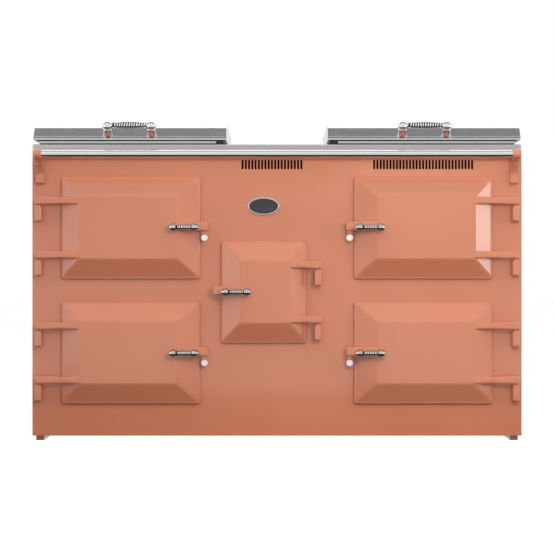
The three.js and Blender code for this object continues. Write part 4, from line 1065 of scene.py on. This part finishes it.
# A domed post with a narrow groove under the dome, which flares into a round foot.
HANDLE_POST = mm((0, -11.5), (4, -11.2), (8, -9.9), (11.7, -7.7), (14.2, -4.5), (15.3, -0.9), (15.5, 2),
                 (15.1, 4.5), (14.2, 6), (13.7, 6.5), (13.7, 7.1), (14.4, 7.6), (15.3, 8.4), (15.5, 9.2),
                 (15.2, 9.9), (15, 11), (15.2, 16), (15.7, 22), (16.4, 28), (17.2, 33), (17.8, 36),
                 (18.3, 37.6), (18.4, 39), (17.8, 39.6), (0, 39.6))
HANDLE_COLLAR = [*mm((0, -2.2), (8.4, -2.2), (9.4, -1.4), (9.4, 3), (7, 5), shift=BARREL / 2),
                 (0.0070, POST_OUT), (0, POST_OUT)]
HALF_CORE = BARREL / 2 + 0.002
HANDLE_CORE = [(0, -HALF_CORE), (0.0060, -HALF_CORE), (0.0085, -HALF_CORE / 2), (0.0094, 0),
               (0.0085, HALF_CORE / 2), (0.0060, HALF_CORE), (0, HALF_CORE)]


def lid_handle(side):
    body = f"lid_{side}"
    middle = centre(box_range(f"lid_handle_frame_{side}")[0])
    start = (middle, HANDLE_AXIS.y, HANDLE_AXIS.z)
    shape = bmesh.new()
    for end in (-1, 1):
        turned(HANDLE_POST, (middle + end * POST_OUT, *start[1:]), tuple(-LEAN_OUT), 64, shape)
        turned(HANDLE_COLLAR, start, (end, 0, 0), 48, shape)
    new_piece(f"chrome_lid_handle_{side}", shape, body, chrome, [f"lid_handle_frame_{side}"],
              weighted=False, smooth_angle=45)
    # The core is near black: painted shade between the turns of wire.
    new_piece(f"lid_handle_core_{side}", turned(HANDLE_CORE, start, (1, 0, 0), 40), body, core_shade_steel,
              weighted=False)
    wind(f"barrel_wire_{side}", f"lid_coil_{side}", *start[1:], body, BARREL_TURNS, 0.004, 0.0023,
         lambda share: 0.0076 + 0.0043 * math.sin(math.pi * share))


for side in SIDES:
    lid_handle(side)
print("the handle's axis is", round(HANDLE_AXIS.z, 4), "m above the floor")

# %% [markdown]
# ## Ovens and controls
# An oven liner is a folded box with a flange that screws to the back of the front plate.
# It is one loft: down the outside, round the flange, through the mouth and along the
# inside to the back wall. Ribs on the side walls carry a wire shelf.

# %% Oven liners, shelves and heating elements
LINER_FRONT = PLATE_HIGH.y + 0.0003
LINER_WALL = 0.003
FLANGE = 0.012
OVEN_DEPTH = 0.430
RIB_SHARES = (0.26, 0.46, 0.66)  # heights of the shelf ribs, from the bottom of the mouth
SHELF_WIRES = 17
SHELF_FRONT, SHELF_BACK = LINER_FRONT + 0.030, LINER_FRONT + 0.385
ELEMENT_LEGS = 6
ELEMENT_FRONT, ELEMENT_BEND, OVEN_WALL = LINER_FRONT + 0.060, LINER_FRONT + 0.394, LINER_FRONT + 0.424


def liner_rings(door, depth, dished):
    """From the back of the box round its flange to a back wall, dished inside a flat border."""
    front, back = LINER_FRONT, LINER_FRONT + depth
    behind, inside = front + LINER_WALL, back - LINER_WALL
    steps = [(LINER_WALL, back, 0.009), (LINER_WALL, behind, 0.009), (FLANGE, behind, 0.012),
             (FLANGE, front, 0.012), (0.001, front, 0.006), (0, front + 0.001, 0.006),
             (0, inside - 0.004, 0.006), (-0.0012, inside - 0.0012, 0.006), (-0.004, inside, 0.006),
             (-dished, inside, 0.006), (-dished - 0.004, inside - 0.003, 0.006)]
    return [placed(shrunk(*door.opening, -outwards, radius, 4), y) for outwards, y, radius in steps]


def rib_height(door, share):
    low, high = door.opening[1]
    return low + (high - low) * share


def shelf_ribs(door, shape):
    """Pairs of ribs on both side walls. A shelf slides in between the two of a pair."""
    for share in RIB_SHARES:
        for wall, way in zip(door.opening[0], (1, -1)):
            for lift in (0.0, 0.014):
                height = rib_height(door, share) + lift
                bar(in_order(wall - way * 0.001, wall + way * 0.007), (LINER_FRONT + 0.035, SHELF_BACK),
                    (height, height + 0.004), 0.0018, 2, shape)


def wire_shelf(door):
    """A frame of thick wire, with thin wires from front to back and two more across, below them."""
    height = rib_height(door, RIB_SHARES[1]) + 0.0095
    top, low = height + 0.0005, height - 0.0030
    near, far, width = SHELF_FRONT, SHELF_BACK, grown(door.opening[0], -0.0045)
    border = placed(rounded_rectangle(width, (near, far), 0.012), height, "Z")
    shape = tube([*border, border[0]], 0.0028, 10)
    for i in range(1, SHELF_WIRES):
        u = width[0] + (width[1] - width[0]) * i / SHELF_WIRES
        wire = [(u, near, top), (u, near + 0.1, top), (u, far - 0.004, top), (u, far, height + 0.010)]
        tube(wire, 0.0014, 8, shape)
    for share in (0.33, 0.67):
        tube([(u, near + (far - near) * share, low) for u in width], 0.0020, 8, shape)
    new_piece(f"wire_shelf_{door.name}", shape, "cooker", chrome, weighted=False)


def element(door):
    """A sheathed heating element, looped to and fro below the oven's roof."""
    x, height = grown(door.opening[0], -0.060), door.opening[1][1] - 0.030
    pitch = (x[1] - x[0]) / (ELEMENT_LEGS - 1)
    path = []
    for i in range(ELEMENT_LEGS):
        u, way = x[0] + pitch * i, -1 if i % 2 == 0 else 1  # towards the door, then away from it
        ends = [ELEMENT_BEND, ELEMENT_FRONT][::-way]
        path += [(u, end) for end in ends]
        if i < ELEMENT_LEGS - 1:
            path += arc((u + pitch / 2, ends[1]), pitch / 2, [180 - way * 22.5 * k for k in range(1, 8)])
    path[0], path[-1] = [(path[end][0], OVEN_WALL) for end in (0, -1)]
    new_piece(f"heating_element_{door.name}", tube(placed(path, height, "Z"), 0.0035, 10), "cooker",
              black_iron, weighted=False)


for door in OVENS:
    shape = loft(liner_rings(door, OVEN_DEPTH, 0.045))
    shelf_ribs(door, shape)
    new_piece(f"oven_cavity_{door.name}", shape, "cooker", oven_enamel,
              [f"oven_liner_{door.name}"])
    wire_shelf(door)
    element(door)

# %% [markdown]
# Behind the centre door sits the control box with three knobs. The dial marks are small
# raised bars round each knob and the numerals are text objects, so both stay sharp.

# %% Control box, dial marks and knobs
CONTROL_DEPTH = 0.095
FASCIA = LINER_FRONT + CONTROL_DEPTH - LINER_WALL
DIAL_DEGREES = [225 - 27 * i for i in range(11)]
TICK_OUT = 0.0235  # from the knob's middle to its dial marks
NUMERAL_OUT = 0.0335
NUMERAL_HEIGHT = 0.0075
KNOB_LENGTH = 0.038
KNOB = mm((0, 0.2), (13, 0.2), (15, 0.8), (16, 2.2), (17, 16.5), (17.6, 18), (20.5, 18.8), (20.9, 19.8),
          (20.9, 23.4), (20.2, 24), (4, 24), (4, 37.8), (0, 37.8))


def control_box():
    recess = loft(liner_rings(DOORS[-1], CONTROL_DEPTH, 0.014)[:-2])
    new_piece("control_recess", recess, "cooker", oven_enamel, ["control_box"])
    outline = shrunk(*DOORS[-1].opening, 0.010, 0.006)
    mesh = slab(outline, [], (FASCIA - 0.0002, FASCIA - 0.00002), "Y", 0.00005)
    new_piece("control_fascia", mesh, "cooker", fascia_steel, weighted=False)


def dial(node):
    x, _, z = map(centre, box_range(node))
    marks = bmesh.new()
    for i, angle in enumerate(DIAL_DEGREES):
        length = 0.0045 if i % 2 == 0 else 0.0025
        tick = bar((TICK_OUT, TICK_OUT + length), (-0.0003, 0.0), (-0.0004, 0.0004), 0.0001, 1)
        turn = Matrix.Rotation(-math.radians(angle), 4, "Y")
        bmesh.ops.transform(tick, matrix=Matrix.Translation((x, FASCIA - 0.0002, z)) @ turn, verts=tick.verts)
        add_shape(marks, tick)
    new_piece(f"dial_marks_{node}", marks, "cooker", black_plastic, weighted=False)
    places = placed(arc((x, z), NUMERAL_OUT, DIAL_DEGREES), FASCIA - 0.0004)
    for i in range(0, len(places), 2):
        text = bpy.data.curves.new(f"numeral_{node}_{i}", "FONT")
        text.body = str(i // 2)
        text.size = NUMERAL_HEIGHT
        text.extrude = 0.0001
        text.align_x, text.align_y = "CENTER", "CENTER"
        text.materials.append(black_plastic)
        numeral = in_scene(f"numeral_{node}_{i}", text)
        numeral.location = places[i]
        numeral.rotation_euler = (math.radians(90), 0, 0)
        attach(numeral, "cooker")


def body_of_knob(node):
    bodies = frame["record"]["behaviour"]["bodies"]
    return next(body for body, members in bodies.items() if node in members)


def knob(node):
    """A turned knob with a bar across its face and a pale line on the bar."""
    ranges = box_range(node)
    x, z = centre(ranges[0]), centre(ranges[2])
    start = ranges[1][1] - KNOB_LENGTH
    shape = turned(KNOB, (x, start, z), (0, 1, 0), 64)
    bar(around(x, 0.003), (start - 0.003, start + 0.012), around(z, 0.0147), 0.0012, 3, shape)
    new_piece(f"turned_{node}", shape, body_of_knob(node), black_plastic, [node],
              weighted=False)
    pointer = bar(around(x, 0.0008), (start - 0.0031, start - 0.0029), (z + 0.004, z + 0.013), 0.00008, 1)
    new_piece(f"pointer_{node}", pointer, body_of_knob(node), white_ceramic, weighted=False)


control_box()
for i in (1, 2, 3):
    dial(f"control_knob_{i}")
    knob(f"control_knob_{i}")

# %% [markdown]
# ## Carcass, back and underside
# Few people see these, but a part in a shared library may be turned round. The side
# sheets have folded flanges, the back has vent slots and screws, and a rubber grommet
# lines the hole for the supply cable.

# %% Sides, base and runners
def side_panel(side):
    x, y, z = box_range(f"side_panel_{side}")
    outer, way = (x[0], 1) if side == "left" else (x[1], -1)
    shape = bmesh.new()
    sheet = in_order(outer, outer + way * 0.003)
    shape.from_mesh(slab(rounded_rectangle(y, z, 0.002, 3), [], sheet, "X", 0.0009))
    for flange in ((z[0], z[0] + 0.003), (z[1] - 0.003, z[1])):
        bar(in_order(outer + way * 0.002, outer + way * 0.015), grown(y, -0.002), flange, 0.0008, 2, shape)
    new_piece(f"side_sheet_{side}", shape, "cooker", terracotta_enamel, [f"side_panel_{side}"])


for side in SIDES:
    side_panel(side)
base = bar(*box_range("base_tray"), 0.001, 2)
new_piece("pressed_base", base, "cooker", zinc_sheet, ["base_tray"])
for side in SIDES:
    # The runners wear the darker enamel: painted shade, low down by the floor.
    block = bar(*box_range(f"runner_{side}"), 0.0018, 3)
    new_piece(f"runner_in_shade_{side}", block, "cooker", runner_paint, [f"runner_{side}"])

# %% Back panel with vents, screws and grommet
GROMMET_HOLE = 0.014
BACK_SCREW = 0.0045


def back_vents():
    for middle in (-0.450, 0.450):
        for bottom in [0.620 + row * 0.020 for row in range(6)]:
            yield rounded_rectangle(around(middle, 0.030), (bottom, bottom + 0.008), 0.0035, 4)


def grommet_profile(thick):
    """Two flanges with a groove between them for the sheet."""
    front = mm((9.2, 0), (18.5, 0), (19.8, 1.2), (19.8, 2.6), (19, 2.9), (13.7, 3.1))
    behind = mm((13.7, 3.1), (19, 2.9), (19.8, 2.6), (19.8, 1.2), (18.5, 0), (10.5, 0), (9.2, 1))
    return [*front, *[(radius, thick - drop) for radius, drop in behind], front[0]]


def back_screws(x, y, z):
    shape = bmesh.new()
    places = [(x[0] + 0.018 + (x[1] - x[0] - 0.036) * i / 8, v) for i in range(9) for v in grown(z, -0.010)]
    places += [(u, z[0] + (z[1] - z[0]) * i / 5) for u in grown(x, -0.010) for i in range(1, 5)]
    for u, v in places:
        screw_head((u, y[1] - 0.0021, v), (0, 1, 0), BACK_SCREW, shape)
    return shape


x, y, z = box_range("back_panel")
grommet = box_range("cable_grommet")
near, far = grommet[1]
place = centre(grommet[0]), centre(grommet[2])
holes = [*back_vents(), arc(place, GROMMET_HOLE, [7.5 * i for i in range(48)])]
new_piece("vented_back", slab(rounded_rectangle(x, z, 0.003), holes, y, "Y", 0.0008), "cooker", zinc_sheet,
          ["back_panel"])
ring = turned(grommet_profile(far - near), (place[0], near, place[1]), (0, 1, 0))
new_piece("rubber_grommet", ring, "cooker", black_rubber_and_shade, ["cable_grommet"], weighted=False)
new_piece("back_screws", back_screws(x, y, z), "cooker", zinc_sheet, weighted=False)

# %% [markdown]
# A black sheet close behind the front vents is painted shade for the dark inside seen through
# the slots. The insulation has no piece of its own: its solid is shown as it is, in mineral wool.

# %% Painted shade behind the vents, and mineral wool
# A black sheet behind the vent slots: painted shade, not a part of the cooker.
vent_shade_sheet = bmesh.new()
for count, middle in VENT_GROUPS:
    bar(around(middle, count * VENT["pitch"] / 2 + 0.004), (PLATE_HIGH.y + 0.0005, PLATE_HIGH.y + 0.0015),
        (VENT_TOP - VENT["height"] - 0.006, VENT_TOP + 0.005), 0.0004, 1, vent_shade_sheet)
new_piece("painted_vent_shade", vent_shade_sheet, "cooker", shadow_black, weighted=False)
wool = frame["nodes"]["insulation"]
wool.data.materials.clear()
wool.data.materials.append(mineral_wool)

# %% [markdown]
# ## Studio
# The cooker stands on a white floor in a white room. Product pictures use cards to draw
# shapes in polished metal, so pale, grey and dark ones stand round it, seen only there.
# The floor adds its own white for the camera and for reflections, and keeps a soft shadow.

# %% Floor, cards, room and lamps
FLOOR_HALF = 30
FLOOR_GREY = 0.31
FLOOR_GLOW = 0.94
ROOM_LIGHT = 0.17


def grey(tone):
    return (tone, tone, tone, 1)


def greater(tree, a, b):
    """The larger of two values."""
    node = add_node(tree, "Math")
    node.operation = "MAXIMUM"
    for socket, source in zip(node.inputs, (a, b)):
        tree.links.new(source, socket)
    return node.outputs[0]


def seen_share(tree):
    """1 for rays that show the room: camera, mirror-like and see-through ones."""
    path = add_node(tree, "LightPath").outputs
    shown = greater(tree, path["Is Camera Ray"], path["Is Glossy Ray"])
    return greater(tree, shown, path["Is Transmission Ray"])


def staged(name, corners, material):
    """One flat face of the studio."""
    mesh = bpy.data.meshes.new(name)
    mesh.from_pydata(corners, [], [(0, 1, 2, 3)])
    mesh.materials.append(material)
    holder = in_scene(name, mesh)
    return holder


def white_floor():
    material, tree, shader = material_with("floor_white", Roughness=0.9, Specular_IOR_Level=0.0,
                                           Base_Color=grey(FLOOR_GREY))
    glow = add_node(tree, "Emission", Strength=seen_share(tree), Color=grey(FLOOR_GLOW))
    both = tree.nodes.new("ShaderNodeAddShader")
    tree.links.new(shader.outputs["BSDF"], both.inputs[0])
    tree.links.new(glow.outputs["Emission"], both.inputs[1])
    feed(tree.nodes["Material Output"], Surface=both.outputs["Shader"])
    far = FLOOR_HALF
    staged("studio_floor", [(-far, -far, 0), (far, -far, 0), (far, far, 0), (-far, far, 0)], material)


def card(name, corners, tone, mirror_only=False):
    """A plain card that is only there to be seen in the polished metal."""
    material, tree, shader = material_with(name)
    tree.nodes.remove(shader)
    glow = add_node(tree, "Emission", Color=grey(tone))
    feed(tree.nodes["Material Output"], Surface=glow.outputs["Emission"])
    holder = staged(name, corners, material)
    holder.visible_camera = False
    if mirror_only:
        holder.visible_diffuse = holder.visible_shadow = holder.visible_transmission = False


def white_room():
    world = bpy.data.worlds.new("studio")
    bpy.context.scene.world = world
    world.use_nodes = True
    tree = world.node_tree
    light = feed(tree.nodes["Background"], Color=grey(1), Strength=ROOM_LIGHT)
    seen = add_node(tree, "Background", Color=grey(1), Strength=1.0)
    mix = tree.nodes.new("ShaderNodeMixShader")
    for socket, source in zip(mix.inputs, (seen_share(tree), light.outputs[0], seen.outputs[0])):
        tree.links.new(source, socket)
    feed(tree.nodes["World Output"], Surface=mix.outputs[0])


def soft_lamp(name, place, target, size, power, mirrored=False):
    """A rectangular lamp. A lamp that isn't mirrored lights the cooker but isn't seen in its metal."""
    lamp = bpy.data.lights.new(name, "AREA")
    lamp.shape = "RECTANGLE"
    lamp.size, lamp.size_y = size
    lamp.energy = power
    holder = in_scene(name, lamp)
    holder.location = place
    holder.rotation_euler = (Vector(target) - Vector(place)).to_track_quat("-Z", "Y").to_euler()
    holder.visible_glossy = mirrored


def across(y0, z0, y1, z1, half=3.5):
    """Corners of a card as wide as the room, between two lines in y and z."""
    return [(-half, y0, z0), (half, y0, z0), (half, y1, z1), (-half, y1, z1)]


white_floor()
card("wall_low", across(-6.5, 0.0, -6.5, 1.12, 5.0), 0.95)
card("wall_high", across(-6.5, 1.12, -6.5, 2.2, 5.0), 0.5)
card("sky_front", across(-5.2, 1.9, -1.0, 2.37), 0.95)
card("sky_above", across(-1.0, 2.37, -0.20, 2.45), 0.30)
card("sky_behind", across(0.35, 3.2, 1.8, 3.2), 1.8, True)
card("floor_near", across(-2.3, 0.004, -0.285, 0.004, 2.6), 0.05, True)
card("window_left", [(-3.3, -1.0, 0.1), (-2.4, -2.6, 0.1), (-2.4, -2.6, 1.9), (-3.3, -1.0, 1.9)], 1.7, True)
white_room()
soft_lamp("key_light", (0.6, -2.3, 1.02), (0.15, PANEL, 0.75), (0.6, 0.4), 15.5)
soft_lamp("top_light", (0.0, -0.75, 2.2), (0.0, -0.45, 0.6), (3.0, 0.3), 10.5)
soft_lamp("left_light", (-2.9, -1.7, 1.15), (-0.3, PANEL, 0.8), (1.6, 1.5), 10)
soft_lamp("right_light", (2.9, -1.7, 1.15), (0.3, PANEL, 0.8), (1.6, 1.5), 11)
soft_lamp("side_strip", (3.38, -1.49, 0.97), (0.63, PANEL, 0.70), (0.5, 1.0), 8, mirrored=True)
bpy.context.scene.view_settings.view_transform = "Standard"
